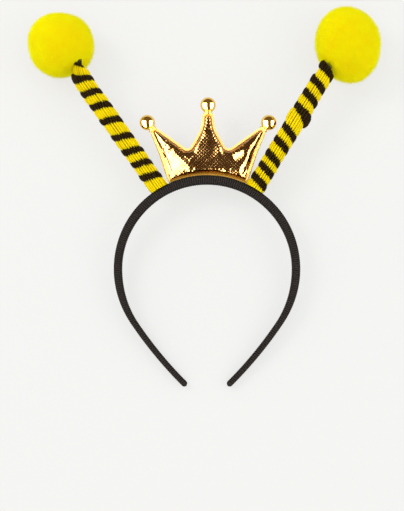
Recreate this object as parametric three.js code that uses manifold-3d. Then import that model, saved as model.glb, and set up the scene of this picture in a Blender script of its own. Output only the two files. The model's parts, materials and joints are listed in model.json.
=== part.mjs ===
// A bee antenna headband: a ribbed black hair band that carries two springy antennae, each one a stem
// wound with a yellow and a black chenille cord and tipped with a yellow pompom, and between them a small
// padded gold crown with a piped edge and three beads.
//
// Sizes are in millimetres and angles in degrees. The pieces are drawn in the plane of the band, with x to
// the right, y up the head and z towards the viewer, and the middle of the band's half circle as the centre.
// At the end the whole headband is laid on its back, as it lies on a table: on its two pompoms and the band's
// two tips, with +Z up and the origin under the middle of its box.
import * as THREE from "three";
import { mergeVertices } from "three/addons/utils/BufferGeometryUtils.js";
import Module from "manifold-3d";

const wasm = await Module();
wasm.setup();

// Gap that is left where one piece seats on another
const CLEARANCE = 0.3;

const BAND = {
  midRadius: 60.5, // half circle over the head, to the middle of the band's thickness
  sideRadius: 66, // arc that brings each side in below it
  sideTurn: 34, // how far that arc turns
  legRadius: 276, // slack curve of each leg, down to its tip
  legTurn: 11,
  seatSpan: 40, // from the top to where the band starts to thin, on each side
  thickSeat: 6.5,
  thickSide: 5.8,
  thickTip: 4.2,
  depth: 9,
  depthTip: 6,
  edgeRadius: 1.5,
};

const CROWN = {
  halfSpan: 40.6, // from the middle out to where a side point's two edges would meet
  height: 41.15, // from the band up to the middle line of the piping across the centre point
  centreShift: 0.7, // the crown stands a little to the right of the band's middle
  seatHalfAngle: 23.8, // half of the stretch of band that the crown covers
  pipingRadius: 1,
  padHalfDepth: 4.8, // how far the stuffing pushes each face out
  padEdge: 0.7, // half of the pad's thickness at its seam
  padShoulder: 8.5, // distance from the seam at which the pad is fully plump
  beadRadius: 5.3,
};

// Corners of the right half of the crown's piping, from the seat up to the centre point. `across` is a share
// of the half span, `rise` a share of the height above the band, and `round` the corner's radius.
const CROWN_CORNERS = [
  { across: 0.792, rise: 0.345, round: 60 },
  { across: 1.0, rise: 0.849, round: 2.15, point: true },
  { across: 0.315, rise: 0.372, round: 4 },
  { across: 0.083, rise: 0.775, round: 22 },
  { across: 0.072, rise: 1.0, round: 1.7 },
];
const SEAT_CORNER_ROUND = 1.5;

const ANTENNA_LENGTH = 101; // from the band to where the stem enters the pompom

const CHENILLE = {
  stemRadius: 2.2,
  yellowRadius: 6.8, // to the outside of the wound cord
  blackRadius: 6.8,
  blackWidth: 5.6, // along the antenna
  shoulder: 0.24, // share of a cord's width that is rounded off at each edge
  shoulderDrop: 0.42, // share of a cord's thickness that the rounding takes
  stepsPerTurn: 9,
  buried: 4, // the winding starts this far under the band's surface, and is trimmed to it
  knotHeight: 1, // how far the black cord's knot stands out
  stemPast: 9.5, // how far the stem goes on into the pompom
};

// `turns` are the places, as shares of the length, where the black cord crosses the front. `blackShare` is a
// share of the black cord's width. `bend` turns the last stretch upright, and `slim` thins it. `lump` is where
// the cords were joined and bulge, and `knot` the turn at which the black cord is thickest.
const ANTENNAE = [
  {
    name: "left",
    side: -1,
    seatAngle: 30.7,
    lean: 35.3,
    length: ANTENNA_LENGTH,
    turns: [0.099, 0.205, 0.306, 0.423, 0.557, 0.678, 0.785, 0.893, 0.992],
    blackShare: 1.06,
    blackStart: -0.45,
    blackEnd: 8.6,
    bend: 35,
    bendFrom: 0.871,
    slim: 0.66,
    slimFrom: 0.925,
    lump: null,
    knot: null,
  },
  {
    name: "right",
    side: 1,
    seatAngle: 30.7,
    lean: 31.3,
    length: 0.96 * ANTENNA_LENGTH,
    turns: [0.057, 0.151, 0.243, 0.357, 0.458, 0.624, 0.742, 0.847, 0.96],
    blackShare: 0.87,
    blackStart: -0.45,
    blackEnd: 9,
    bend: 0,
    bendFrom: 0.9,
    slim: 1,
    slimFrom: 0.95,
    lump: { at: 0.575, reach: 0.055, height: 1.0 },
    knot: { turn: 4.8, reach: 0.16, swell: 0.5 },
  },
];

const POMPOM = { radius: 22, setback: 8, locks: 32, lockSpread: 6.7, lockReach: 7, coreShare: 0.93 };

// Each pompom's middle is placed along and across the straight line of its stem: `along` as a share of the
// antenna's length, and `across`, `halfWidth` and `halfHeight` as shares of the pompom's radius
const POMPOMS = [
  { name: "left", along: 1.189, across: 0.095, halfWidth: 1.045, halfHeight: 1.005, tilt: 0 },
  { name: "right", along: 1.217, across: 0.159, halfWidth: 0.995, halfHeight: 1.186, tilt: 14 },
];

// The hollow in a pompom for its antenna's end: where it starts ahead of the winding, the length over which
// it narrows, and the step at the winding's end
const SOCKET = { lead: 12, taper: 3, step: 0.1 };

// Sides of the round cutter that trims the cords to the band
const TRIM_SIDES = 144;

const MATERIALS = {
  band: new THREE.MeshStandardMaterial({ color: 0x2b2a29, roughness: 0.85, metalness: 0 }),
  goldFoil: new THREE.MeshStandardMaterial({ color: 0xd9a13b, roughness: 0.25, metalness: 1 }),
  goldPiping: new THREE.MeshStandardMaterial({ color: 0xe8b94a, roughness: 0.2, metalness: 1 }),
  goldBead: new THREE.MeshStandardMaterial({ color: 0xecc25a, roughness: 0.08, metalness: 1 }),
  stem: new THREE.MeshStandardMaterial({ color: 0x2b2622, roughness: 0.6, metalness: 0 }),
  yellowChenille: new THREE.MeshStandardMaterial({ color: 0xf0cc12, roughness: 0.95, metalness: 0 }),
  blackChenille: new THREE.MeshStandardMaterial({ color: 0x1c1915, roughness: 0.95, metalness: 0 }),
  pompom: new THREE.MeshStandardMaterial({ color: 0xf3de02, roughness: 1, metalness: 0 }),
};

// Share of an antenna's length over which its slim end gets thinner
const SLIM_SPAN = 0.03;

const rad = THREE.MathUtils.degToRad;
const mix = THREE.MathUtils.lerp;
const bandOuterRadius = BAND.midRadius + BAND.thickSeat / 2;

// Share of the way from a to b, eased at both ends
const eased = (value, a, b) => THREE.MathUtils.smoothstep(value, a, b);

// A closed body through rings of equally many points. An open one gets a flat fan at each end. The faces of
// the columns in `crossed` are split along their other diagonal.
function loft(rings, { loop = false, crossed = [] } = {}) {
  const count = rings[0].length;
  const positions = rings.flat().flatMap((p) => [p.x, p.y, p.z]);
  const index = [];
  const spans = loop ? rings.length : rings.length - 1;
  for (let i = 0; i < spans; i++) {
    const here = i * count;
    const next = ((i + 1) % rings.length) * count;
    for (let j = 0; j < count; j++) {
      const k = (j + 1) % count;
      if (crossed.includes(j)) index.push(here + j, here + k, next + j, here + k, next + k, next + j);
      else index.push(here + j, here + k, next + k, here + j, next + k, next + j);
    }
  }
  if (!loop) {
    const last = (rings.length - 1) * count;
    for (let j = 1; j < count - 1; j++) {
      index.push(0, j + 1, j, last, last + j, last + j + 1);
    }
  }
  if (signedVolume(positions, index) < 0) index.reverse();
  const geometry = new THREE.BufferGeometry();
  geometry.setAttribute("position", new THREE.Float32BufferAttribute(positions, 3));
  geometry.setIndex(index);
  return geometry;
}

function signedVolume(positions, index) {
  const corner = (i) => new THREE.Vector3().fromArray(positions, 3 * index[i]);
  let volume = 0;
  for (let i = 0; i < index.length; i += 3) {
    volume += corner(i).dot(corner(i + 1).cross(corner(i + 2))) / 6;
  }
  return volume;
}

function solidFrom(geometry) {
  const bare = geometry.clone();
  bare.deleteAttribute("normal");
  bare.deleteAttribute("uv");
  const merged = mergeVertices(bare, 1e-4);
  return new wasm.Manifold(
    new wasm.Mesh({
      numProp: 3,
      vertProperties: merged.attributes.position.array,
      triVerts: new Uint32Array(merged.index.array),
    }),
  );
}

function geometryFrom(solid) {
  const mesh = solid.getMesh();
  const geometry = new THREE.BufferGeometry();
  geometry.setAttribute("position", new THREE.BufferAttribute(mesh.vertProperties, 3));
  geometry.setIndex(new THREE.BufferAttribute(mesh.triVerts, 1));
  return geometry;
}

function namedMesh(name, geometry, material) {
  geometry.computeVertexNormals();
  const mesh = new THREE.Mesh(geometry, material);
  mesh.name = name;
  return mesh;
}

// The middle of the band's thickness where its outward normal points `normal` degrees above straight right:
// 90 at the top, 0 at the widest place, and below 0 on the leg
function bandMid(normal) {
  const towards = (angle) => new THREE.Vector2(Math.cos(rad(angle)), Math.sin(rad(angle)));
  if (normal >= 0) return towards(normal).multiplyScalar(BAND.midRadius);
  const sideCentre = new THREE.Vector2(BAND.midRadius - BAND.sideRadius, 0);
  if (normal >= -BAND.sideTurn) return sideCentre.addScaledVector(towards(normal), BAND.sideRadius);
  const legCentre = sideCentre.addScaledVector(towards(-BAND.sideTurn), BAND.sideRadius - BAND.legRadius);
  return legCentre.addScaledVector(towards(normal), BAND.legRadius);
}

function bandThickness(normal) {
  const seatEnd = 90 - BAND.seatSpan;
  const tipNormal = -BAND.sideTurn - BAND.legTurn;
  if (normal >= 0) return mix(BAND.thickSide, BAND.thickSeat, eased(normal, 0, seatEnd));
  return mix(BAND.thickTip, BAND.thickSide, eased(normal, tipNormal, 0));
}

function bandDepth(normal) {
  const tipNormal = -BAND.sideTurn - BAND.legTurn;
  return mix(BAND.depthTip, BAND.depth, eased(normal, tipNormal, -BAND.sideTurn));
}

// One rounded-rectangle section of the band, on the right half or mirrored to the left. `shrink` and `past`
// round off the tip: the section gets smaller as it moves on past the band's end.
function bandSection(normal, side, { shrink = 1, past = 0 } = {}) {
  const outward = new THREE.Vector3(side * Math.cos(rad(normal)), Math.sin(rad(normal)), 0);
  const onward = new THREE.Vector3(side * Math.sin(rad(normal)), -Math.cos(rad(normal)), 0);
  const mid = bandMid(normal);
  const centre = new THREE.Vector3(side * mid.x, mid.y, 0).addScaledVector(onward, past);
  const halfThick = (bandThickness(normal) / 2) * shrink;
  const halfDepth = (bandDepth(normal) / 2) * mix(0.5, 1, shrink);
  const round = Math.min(BAND.edgeRadius, halfThick * 0.7);
  const ring = [];
  for (let quarter = 0; quarter < 4; quarter++) {
    const signU = quarter === 0 || quarter === 3 ? 1 : -1;
    const signW = quarter < 2 ? 1 : -1;
    for (let step = 0; step < 3; step++) {
      const angle = rad(90 * quarter + 45 * step);
      const u = signU * (halfThick - round) + round * Math.cos(angle);
      const w = signW * (halfDepth - round) + round * Math.sin(angle);
      ring.push(centre.clone().addScaledVector(outward, u).add(new THREE.Vector3(0, 0, w)));
    }
  }
  return ring;
}

// The steps start half a step from the top, so that a flat facet rests on the crown of the head
function headband() {
  const stepSize = 6;
  const tipNormal = -BAND.sideTurn - BAND.legTurn;
  const legSteps = 5;
  const normals = [];
  for (let normal = 90 - stepSize / 2; normal > -BAND.sideTurn; normal -= stepSize) normals.push(normal);
  for (let i = 0; i <= legSteps; i++) normals.push(mix(-BAND.sideTurn, tipNormal, i / legSteps));
  const tipRound = BAND.thickTip / 2;
  const half = (side) => {
    const rings = normals.map((normal) => bandSection(normal, side));
    for (const angle of [30, 60, 82]) {
      const shrink = Math.cos(rad(angle));
      rings.push(bandSection(tipNormal, side, { shrink, past: tipRound * Math.sin(rad(angle)) }));
    }
    return rings;
  };
  return loft([...half(-1).reverse(), ...half(1)]);
}

// Walks a closed run of corners and rounds each one with an arc. Returns the points and, for each corner
// marked as a point of the crown, the top of its arc and the way it points.
function roundedRun(corners) {
  const points = [];
  const peaks = [];
  corners.forEach((corner, i) => {
    const before = corners[(i + corners.length - 1) % corners.length];
    const after = corners[(i + 1) % corners.length];
    const here = new THREE.Vector2(corner.x, corner.y);
    const back = new THREE.Vector2(before.x, before.y).sub(here).normalize();
    const on = new THREE.Vector2(after.x, after.y).sub(here).normalize();
    const half = Math.acos(THREE.MathUtils.clamp(back.dot(on), -1, 1)) / 2;
    const inward = back.clone().add(on).normalize();
    if (!corner.round || half > rad(89.5)) {
      points.push(here);
      return;
    }
    const centre = here.clone().addScaledVector(inward, corner.round / Math.sin(half));
    const sweep = Math.PI - 2 * half;
    const steps = Math.max(2, Math.ceil(sweep / rad(36)));
    const start = here.clone().addScaledVector(back, corner.round / Math.tan(half)).sub(centre);
    const turn = Math.sign(start.cross(inward.clone().negate())) || 1;
    for (let k = 0; k <= steps; k++) {
      const spoke = start.clone().rotateAround(new THREE.Vector2(), (turn * sweep * k) / steps);
      points.push(centre.clone().add(spoke));
    }
    if (corner.point) {
      const apex = centre.clone().addScaledVector(inward, -corner.round);
      peaks.push({ apex, towards: inward.clone().negate() });
    }
  });
  return { points, peaks };
}

// The middle line of the crown's piping: along the band from left to right, then back over the three points
function crownOutline() {
  const seatRadius = bandOuterRadius + CLEARANCE + CROWN.pipingRadius;
  const seatSteps = 8;
  const corners = [];
  for (let i = 0; i <= seatSteps; i++) {
    const angle = rad(mix(90 + CROWN.seatHalfAngle, 90 - CROWN.seatHalfAngle, i / seatSteps));
    const atEnd = i === 0 || i === seatSteps;
    const round = atEnd ? SEAT_CORNER_ROUND : 0;
    corners.push({ x: seatRadius * Math.cos(angle), y: seatRadius * Math.sin(angle), round });
  }
  const place = ({ across, rise, round, point }, side) => ({
    x: side * across * CROWN.halfSpan,
    y: bandOuterRadius + rise * CROWN.height,
    round,
    point,
  });
  corners.push(...CROWN_CORNERS.map((corner) => place(corner, 1)));
  corners.push(...[...CROWN_CORNERS].reverse().map((corner) => place(corner, -1)));
  const { points, peaks } = roundedRun(corners);
  const top = new THREE.Vector2(0, bandOuterRadius + CROWN.height);
  return { points, peaks: [...peaks, { apex: top, towards: new THREE.Vector2(0, 1) }] };
}

// Moves a closed outline inwards by a distance, each corner along its own bisector
function inset(points, distance) {
  const area = THREE.ShapeUtils.area(points);
  return points.map((here, i) => {
    const back = points[(i + points.length - 1) % points.length];
    const on = points[(i + 1) % points.length];
    const into = here.clone().sub(back).normalize();
    const away = on.clone().sub(here).normalize();
    const left = new THREE.Vector2(-into.y - away.y, into.x + away.x).normalize();
    const reach = distance / Math.max(0.35, Math.sqrt((1 + into.dot(away)) / 2));
    return here.clone().addScaledVector(left, area > 0 ? reach : -reach);
  });
}

// How far inside a closed outline a point is, or outside where this is negative
function depthInside(point, outline) {
  let least = Infinity;
  let inside = false;
  const nearest = new THREE.Vector3();
  const line = new THREE.Line3();
  const here = new THREE.Vector3(point.x, point.y, 0);
  outline.forEach((a, i) => {
    const b = outline[(i + 1) % outline.length];
    line.start.set(a.x, a.y, 0);
    line.end.set(b.x, b.y, 0);
    line.closestPointToPoint(here, true, nearest);
    least = Math.min(least, nearest.distanceTo(here));
    const crossesRow = a.y > point.y !== b.y > point.y;
    if (crossesRow && point.x < mix(a.x, b.x, (point.y - a.y) / (b.y - a.y))) inside = !inside;
  });
  return inside ? least : -least;
}

function crownPiping(outline) {
  const sides = 6;
  const rings = outline.map((here, i) => {
    const back = outline[(i + outline.length - 1) % outline.length];
    const on = outline[(i + 1) % outline.length];
    const into = here.clone().sub(back).normalize();
    const away = on.clone().sub(here).normalize();
    const across = new THREE.Vector2(-into.y - away.y, into.x + away.x).normalize();
    const mitre = CROWN.pipingRadius / Math.max(0.6, Math.sqrt((1 + into.dot(away)) / 2));
    return Array.from({ length: sides }, (_, k) => {
      const angle = (2 * Math.PI * k) / sides;
      const flat = here.clone().addScaledVector(across, mitre * Math.cos(angle));
      return new THREE.Vector3(flat.x, flat.y, CROWN.pipingRadius * Math.sin(angle));
    });
  });
  return loft(rings, { loop: true });
}

// The stuffed pad: a pillow-shaped slab, cut to the outline just inside the piping
function crownPad(outline) {
  const seam = inset(outline, CROWN.pipingRadius + CLEARANCE);
  const cell = 3.6;
  const box = new THREE.Box2().setFromPoints(seam).expandByScalar(cell);
  const columns = Math.ceil((box.max.x - box.min.x) / cell);
  const rows = Math.ceil((box.max.y - box.min.y) / cell);
  const plumpness = (x, y) => {
    const depth = Math.max(0, depthInside(new THREE.Vector2(x, y), seam));
    const inside = Math.min(1, depth / CROWN.padShoulder);
    return mix(CROWN.padEdge, CROWN.padHalfDepth, Math.sqrt(1 - (1 - inside) ** 2));
  };
  const slab = new THREE.BoxGeometry(columns * cell, rows * cell, 2, columns, rows, 1);
  slab.translate(box.min.x + (columns * cell) / 2, box.min.y + (rows * cell) / 2, 0);
  const position = slab.getAttribute("position");
  const shape = new THREE.Shape(seam);
  for (let i = 0; i < position.count; i++) {
    const x = position.getX(i);
    const y = position.getY(i);
    position.setZ(i, Math.sign(position.getZ(i)) * plumpness(x, y));
  }
  const cutter = new THREE.ExtrudeGeometry(shape, { depth: 4 * CROWN.padHalfDepth, bevelEnabled: false });
  cutter.translate(0, 0, -2 * CROWN.padHalfDepth);
  return geometryFrom(solidFrom(slab).intersect(solidFrom(cutter)));
}

function crown() {
  const group = new THREE.Group();
  const { points, peaks } = crownOutline();
  group.add(namedMesh("crown_pad", crownPad(points), MATERIALS.goldFoil));
  group.add(namedMesh("crown_piping", crownPiping(points), MATERIALS.goldPiping));
  const beadNames = ["crown_bead_right", "crown_bead_left", "crown_bead_centre"];
  peaks.forEach(({ apex, towards }, i) => {
    const seat = CROWN.pipingRadius + CLEARANCE + CROWN.beadRadius;
    const centre = apex.clone().addScaledVector(towards, seat);
    const bead = new THREE.SphereGeometry(CROWN.beadRadius, 12, 8);
    const mesh = namedMesh(beadNames[i], bead, MATERIALS.goldBead);
    mesh.position.set(centre.x, centre.y, 0);
    group.add(mesh);
  });
  group.position.x = CROWN.centreShift;
  return group;
}

// The stem's middle line: straight, then an arc that turns it upright. Returns the place at a distance from
// the band, the way on, and the way to the viewer's right.
function stemFrame(antenna, distance) {
  const seat = rad(90 - antenna.side * antenna.seatAngle);
  const base = new THREE.Vector2(Math.cos(seat), Math.sin(seat)).multiplyScalar(bandOuterRadius);
  const heading = (lean) => new THREE.Vector2(antenna.side * Math.sin(rad(lean)), Math.cos(rad(lean)));
  const bendStart = antenna.bendFrom * antenna.length;
  const straight = Math.min(distance, bendStart);
  const place = base.addScaledVector(heading(antenna.lean), straight);
  let lean = antenna.lean;
  if (distance > bendStart && antenna.bend) {
    const bendLength = antenna.length - bendStart;
    const turned = antenna.bend * Math.min(1, (distance - bendStart) / bendLength);
    const radius = bendLength / rad(antenna.bend);
    lean = antenna.lean - turned;
    const inner = heading(antenna.lean + 90);
    place.addScaledVector(inner, -radius).addScaledVector(heading(lean + 90), radius);
    place.addScaledVector(heading(lean), Math.max(0, distance - antenna.length));
  } else {
    place.addScaledVector(heading(lean), distance - straight);
  }
  const on = heading(lean);
  return {
    place: new THREE.Vector3(place.x, place.y, 0),
    on: new THREE.Vector3(on.x, on.y, 0),
    right: new THREE.Vector3(on.y, -on.x, 0),
  };
}

// A point on the antenna: so far along the stem, so far out, and `around` the stem from the viewer's side
// to the left
function onAntenna(antenna, distance, radius, around) {
  const { place, right } = stemFrame(antenna, distance);
  place.addScaledVector(right, -radius * Math.sin(around));
  place.z += radius * Math.cos(around);
  return place;
}

// How far along the stem the black cord is after a number of turns from its first crossing
function blackCordAt(antenna, turn) {
  const { turns, length } = antenna;
  const last = turns.length - 1;
  const i = THREE.MathUtils.clamp(Math.floor(turn), 0, last - 1);
  const at = (k) => {
    if (k < 0) return turns[0] + k * (turns[1] - turns[0]);
    if (k > last) return turns[last] + (k - last) * (turns[last] - turns[last - 1]);
    return turns[k];
  };
  if (turn < 0 || turn > last) return length * at(turn);
  const t = turn - i;
  const slopeIn = (at(i + 1) - at(i - 1)) / 2;
  const slopeOut = (at(i + 2) - at(i)) / 2;
  const t2 = t * t;
  const t3 = t2 * t;
  const places = (2 * t3 - 3 * t2 + 1) * at(i) + (3 * t2 - 2 * t3) * at(i + 1);
  const slopes = (t3 - 2 * t2 + t) * slopeIn + (t3 - t2) * slopeOut;
  return length * (places + slopes);
}

// The wound cords' radius is less along the slim end and more over the lump
function windingScale(antenna, distance) {
  const share = distance / antenna.length;
  return mix(1, antenna.slim, eased(share, antenna.slimFrom, antenna.slimFrom + SLIM_SPAN));
}

function lumpHeight(antenna, distance) {
  if (!antenna.lump) return 0;
  const off = (distance / antenna.length - antenna.lump.at) / antenna.lump.reach;
  return antenna.lump.height * Math.exp(-off * off);
}

// The lower flank of a cord is split like the upper flank of the one under it, so that they lie parallel
const CORD_FLANK = [0];

// How much the black cord swells at its knot, from nought to one
function knotAt(antenna, turn) {
  if (!antenna.knot) return 0;
  const off = (turn - antenna.knot.turn) / antenna.knot.reach;
  return Math.exp(-off * off);
}

function blackHalfWidth(antenna, turn) {
  const slim = windingScale(antenna, blackCordAt(antenna, turn));
  const half = (CHENILLE.blackWidth / 2) * antenna.blackShare * slim;
  return antenna.knot ? half * (1 + antenna.knot.swell * knotAt(antenna, turn)) : half;
}

// Section of a wound cord in the plane through the stem: flat on the stem and rounded outside
function cordSection(antenna, around, low, high, outerRadius) {
  const inner = CHENILLE.stemRadius + CLEARANCE;
  const middle = (low + high) / 2;
  const outer = Math.max(
    inner + 1,
    outerRadius * windingScale(antenna, middle) + lumpHeight(antenna, middle),
  );
  const shoulder = mix(outer, inner, CHENILLE.shoulderDrop);
  const round = (high - low) * CHENILLE.shoulder;
  return [
    [low, inner],
    [low, shoulder],
    [low + round, outer],
    [high - round, outer],
    [high, shoulder],
    [high, inner],
  ].map(([distance, radius]) => onAntenna(antenna, distance, radius, around));
}

function windingSteps(from, to) {
  const first = Math.ceil(from * CHENILLE.stepsPerTurn);
  const last = Math.floor(to * CHENILLE.stepsPerTurn);
  return Array.from({ length: last - first + 1 }, (_, i) => (first + i) / CHENILLE.stepsPerTurn);
}

// Trims a cord to the band's round outer face, and keeps the clearance to it
function trimToBand(solid) {
  const radius = bandOuterRadius + CLEARANCE;
  const depth = 4 * Math.max(CHENILLE.yellowRadius, CHENILLE.blackRadius);
  const face = new THREE.CylinderGeometry(radius, radius, depth, TRIM_SIDES);
  face.rotateX(Math.PI / 2);
  return solid.subtract(solidFrom(face));
}

function blackCord(antenna) {
  const rings = windingSteps(antenna.blackStart, antenna.blackEnd).map((turn) => {
    const middle = blackCordAt(antenna, turn);
    const half = blackHalfWidth(antenna, turn);
    const outer = CHENILLE.blackRadius + CHENILLE.knotHeight * knotAt(antenna, turn);
    return cordSection(antenna, 2 * Math.PI * turn, middle - half, middle + half, outer);
  });
  return geometryFrom(trimToBand(solidFrom(loft(rings, { crossed: CORD_FLANK }))));
}

// The yellow cord fills what the black one leaves free: from above one black turn to below the next. Under
// the black cord's start it also takes that cord's place.
function yellowCord(antenna) {
  const pitch = blackCordAt(antenna, 1) - blackCordAt(antenna, 0);
  const start = -1 - (blackCordAt(antenna, 0) - blackHalfWidth(antenna, 0) + CHENILLE.buried) / pitch;
  const rings = windingSteps(start, antenna.blackEnd - 1).map((turn) => {
    const half = blackHalfWidth(antenna, turn);
    const taken = eased(turn, antenna.blackStart - 0.2, antenna.blackStart - 0.05);
    const low = blackCordAt(antenna, turn) + mix(-half, half + CLEARANCE, taken);
    const high = blackCordAt(antenna, turn + 1) - blackHalfWidth(antenna, turn + 1) - CLEARANCE;
    return cordSection(antenna, 2 * Math.PI * turn, low, high, CHENILLE.yellowRadius);
  });
  return geometryFrom(trimToBand(solidFrom(loft(rings, { crossed: CORD_FLANK }))));
}

// Rings of equal points around the stem, for the stem itself and for the hollow it needs
function stemRings(antenna, stations, sides = 12) {
  return stations.map(({ distance, radius }) =>
    Array.from({ length: sides }, (_, k) => onAntenna(antenna, distance, radius, (2 * Math.PI * k) / sides)),
  );
}

function stem(antenna) {
  const end = antenna.length + CHENILLE.stemPast;
  const bendStart = antenna.bendFrom * antenna.length;
  const distances = [-CHENILLE.buried, bendStart];
  for (let i = 1; i <= 3; i++) distances.push(mix(bendStart, antenna.length, i / 3));
  distances.push(end);
  const stations = distances.map((distance) => ({ distance, radius: CHENILLE.stemRadius }));
  return geometryFrom(trimToBand(solidFrom(loft(stemRings(antenna, stations)))));
}

// What the pompom leaves free for the antenna's end: room for the wound cords, then a bore for the stem
function stemSocket(antenna) {
  const wound = CHENILLE.yellowRadius * windingScale(antenna, antenna.length) + 2 * CLEARANCE;
  const bore = CHENILLE.stemRadius + CLEARANCE;
  const mouth = antenna.length * (antenna.slimFrom + SLIM_SPAN) + CHENILLE.blackWidth;
  const end = blackCordAt(antenna, antenna.blackEnd) + blackHalfWidth(antenna, antenna.blackEnd) + CLEARANCE;
  const lead = antenna.bend ? antenna.bendFrom * antenna.length : mouth - 2 * SOCKET.taper;
  const wide = CHENILLE.yellowRadius + 2 * CLEARANCE;
  const stations = [
    { distance: lead - SOCKET.lead, radius: wide },
    { distance: lead, radius: wide },
    { distance: mouth - SOCKET.taper, radius: wide },
    { distance: mouth, radius: wound },
    { distance: mix(mouth, end, 0.5), radius: wound },
    { distance: end, radius: wound },
    { distance: end + SOCKET.step, radius: bore },
    { distance: antenna.length + CHENILLE.stemPast + CLEARANCE, radius: bore },
  ];
  return solidFrom(loft(stemRings(antenna, stations)));
}

// A trimmed ball of yarn: a round heart with short locks all over it, evenly spread in a golden spiral
function pompom(spec, antenna) {
  const straight = { ...antenna, bend: 0 };
  const { place, right } = stemFrame(straight, spec.along * antenna.length);
  const centre = place.addScaledVector(right, spec.across * POMPOM.radius);
  centre.z = -POMPOM.setback;
  const size = new THREE.Vector3(spec.halfWidth, spec.halfHeight, 1).multiplyScalar(POMPOM.radius);
  const heart = new THREE.SphereGeometry(1, 12, 8);
  heart.scale(size.x * POMPOM.coreShare, size.y * POMPOM.coreShare, size.z * POMPOM.coreShare);
  let ball = solidFrom(heart);
  const golden = Math.PI * (3 - Math.sqrt(5));
  for (let i = 0; i < POMPOM.locks; i++) {
    const z = 1 - (2 * i + 1) / POMPOM.locks;
    const ringRadius = Math.sqrt(1 - z * z);
    const outward = new THREE.Vector3(ringRadius * Math.cos(golden * i), ringRadius * Math.sin(golden * i), z);
    const lock = new THREE.SphereGeometry(1, 5, 4);
    lock.scale(POMPOM.lockSpread, POMPOM.lockReach, POMPOM.lockSpread);
    lock.applyQuaternion(new THREE.Quaternion().setFromUnitVectors(new THREE.Vector3(0, 1, 0), outward));
    const tip = outward.clone().multiply(size);
    lock.translate(...tip.addScaledVector(outward, -POMPOM.lockReach).toArray());
    ball = ball.add(solidFrom(lock));
  }
  const turned = geometryFrom(ball);
  turned.rotateZ(rad(spec.tilt));
  turned.translate(centre.x, centre.y, centre.z);
  return geometryFrom(solidFrom(turned).subtract(stemSocket(antenna)));
}

function antennaPieces(antenna, spec) {
  const group = new THREE.Group();
  group.add(namedMesh(`antenna_stem_${antenna.name}`, stem(antenna), MATERIALS.stem));
  group.add(namedMesh(`yellow_chenille_${antenna.name}`, yellowCord(antenna), MATERIALS.yellowChenille));
  group.add(namedMesh(`black_chenille_${antenna.name}`, blackCord(antenna), MATERIALS.blackChenille));
  group.add(namedMesh(`pompom_${antenna.name}`, pompom(spec, antenna), MATERIALS.pompom));
  return group;
}

// The slope at which the headband lies on its back: the steepest line from the band's tips to the lowest
// place of a pompom
function restingSlope(pompoms) {
  const tip = bandMid(-BAND.sideTurn - BAND.legTurn);
  let slope = 0;
  for (const { geometry } of pompoms) {
    const { array, count } = geometry.getAttribute("position");
    for (let i = 0; i < count; i++) {
      const run = array[3 * i + 1] - tip.y;
      const drop = -BAND.depthTip / 2 - array[3 * i + 2];
      slope = Math.max(slope, Math.atan2(drop, run));
    }
  }
  return slope;
}

const pieces = new THREE.Group();
pieces.add(namedMesh("headband", headband(), MATERIALS.band));
pieces.add(crown());
ANTENNAE.forEach((antenna, i) => pieces.add(antennaPieces(antenna, POMPOMS[i])));
const pompoms = POMPOMS.map(({ name }) => pieces.getObjectByName(`pompom_${name}`));
pieces.rotation.x = restingSlope(pompoms);

const laid = new THREE.Group();
laid.add(pieces);
laid.updateMatrixWorld(true);
const extent = new THREE.Box3().setFromObject(laid, true);
const middle = extent.getCenter(new THREE.Vector3());
pieces.position.set(-middle.x, -middle.y, -extent.min.z);

export default laid;
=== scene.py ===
"""Bee antenna headband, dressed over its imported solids.

The headband lies on its back on a pale table, as in a flat-lay photograph. Sizes are in millimetres in the
drawing plane of the band, with x to the right, y up the head and z towards the viewer, and the middle of the
band's half circle as the centre. DrawingPlane turns them into the frame's metres.
"""

import json
import logging
import math
from dataclasses import dataclass, field
from enum import Enum
from typing import Any, Sequence

import bmesh
import bpy
import numpy as np
from mathutils import Matrix, Vector
from mathutils.geometry import delaunay_2d_cdt


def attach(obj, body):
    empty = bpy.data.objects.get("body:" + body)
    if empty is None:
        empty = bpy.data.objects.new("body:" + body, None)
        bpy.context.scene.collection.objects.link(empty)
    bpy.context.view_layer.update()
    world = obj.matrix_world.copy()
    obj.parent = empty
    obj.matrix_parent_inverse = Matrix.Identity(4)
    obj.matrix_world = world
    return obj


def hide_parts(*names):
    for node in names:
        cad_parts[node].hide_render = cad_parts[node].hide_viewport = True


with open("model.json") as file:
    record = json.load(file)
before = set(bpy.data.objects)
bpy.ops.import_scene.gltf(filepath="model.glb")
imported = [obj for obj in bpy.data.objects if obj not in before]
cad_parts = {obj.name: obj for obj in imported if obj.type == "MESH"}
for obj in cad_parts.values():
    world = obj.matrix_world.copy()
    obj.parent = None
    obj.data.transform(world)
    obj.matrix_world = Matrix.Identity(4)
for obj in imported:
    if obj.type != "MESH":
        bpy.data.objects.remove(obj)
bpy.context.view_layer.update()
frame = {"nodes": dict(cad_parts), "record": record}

log = logging.getLogger("bee_headband")
MM = 0.001
BODY = "root"

Array = np.ndarray


# Colours and nodes


def linear(hex_colour: str) -> tuple[float, float, float, float]:
    """Turn an sRGB hex colour into linear light.

    Args:
        hex_colour: Six hex digits, such as "F3DE02".

    Returns:
        Red, green, blue and an alpha of one.
    """
    parts = [int(hex_colour[i : i + 2], 16) / 255 for i in (0, 2, 4)]
    red, green, blue = (p / 12.92 if p <= 0.04045 else ((p + 0.055) / 1.055) ** 2.4 for p in parts)
    return red, green, blue, 1.0


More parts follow.
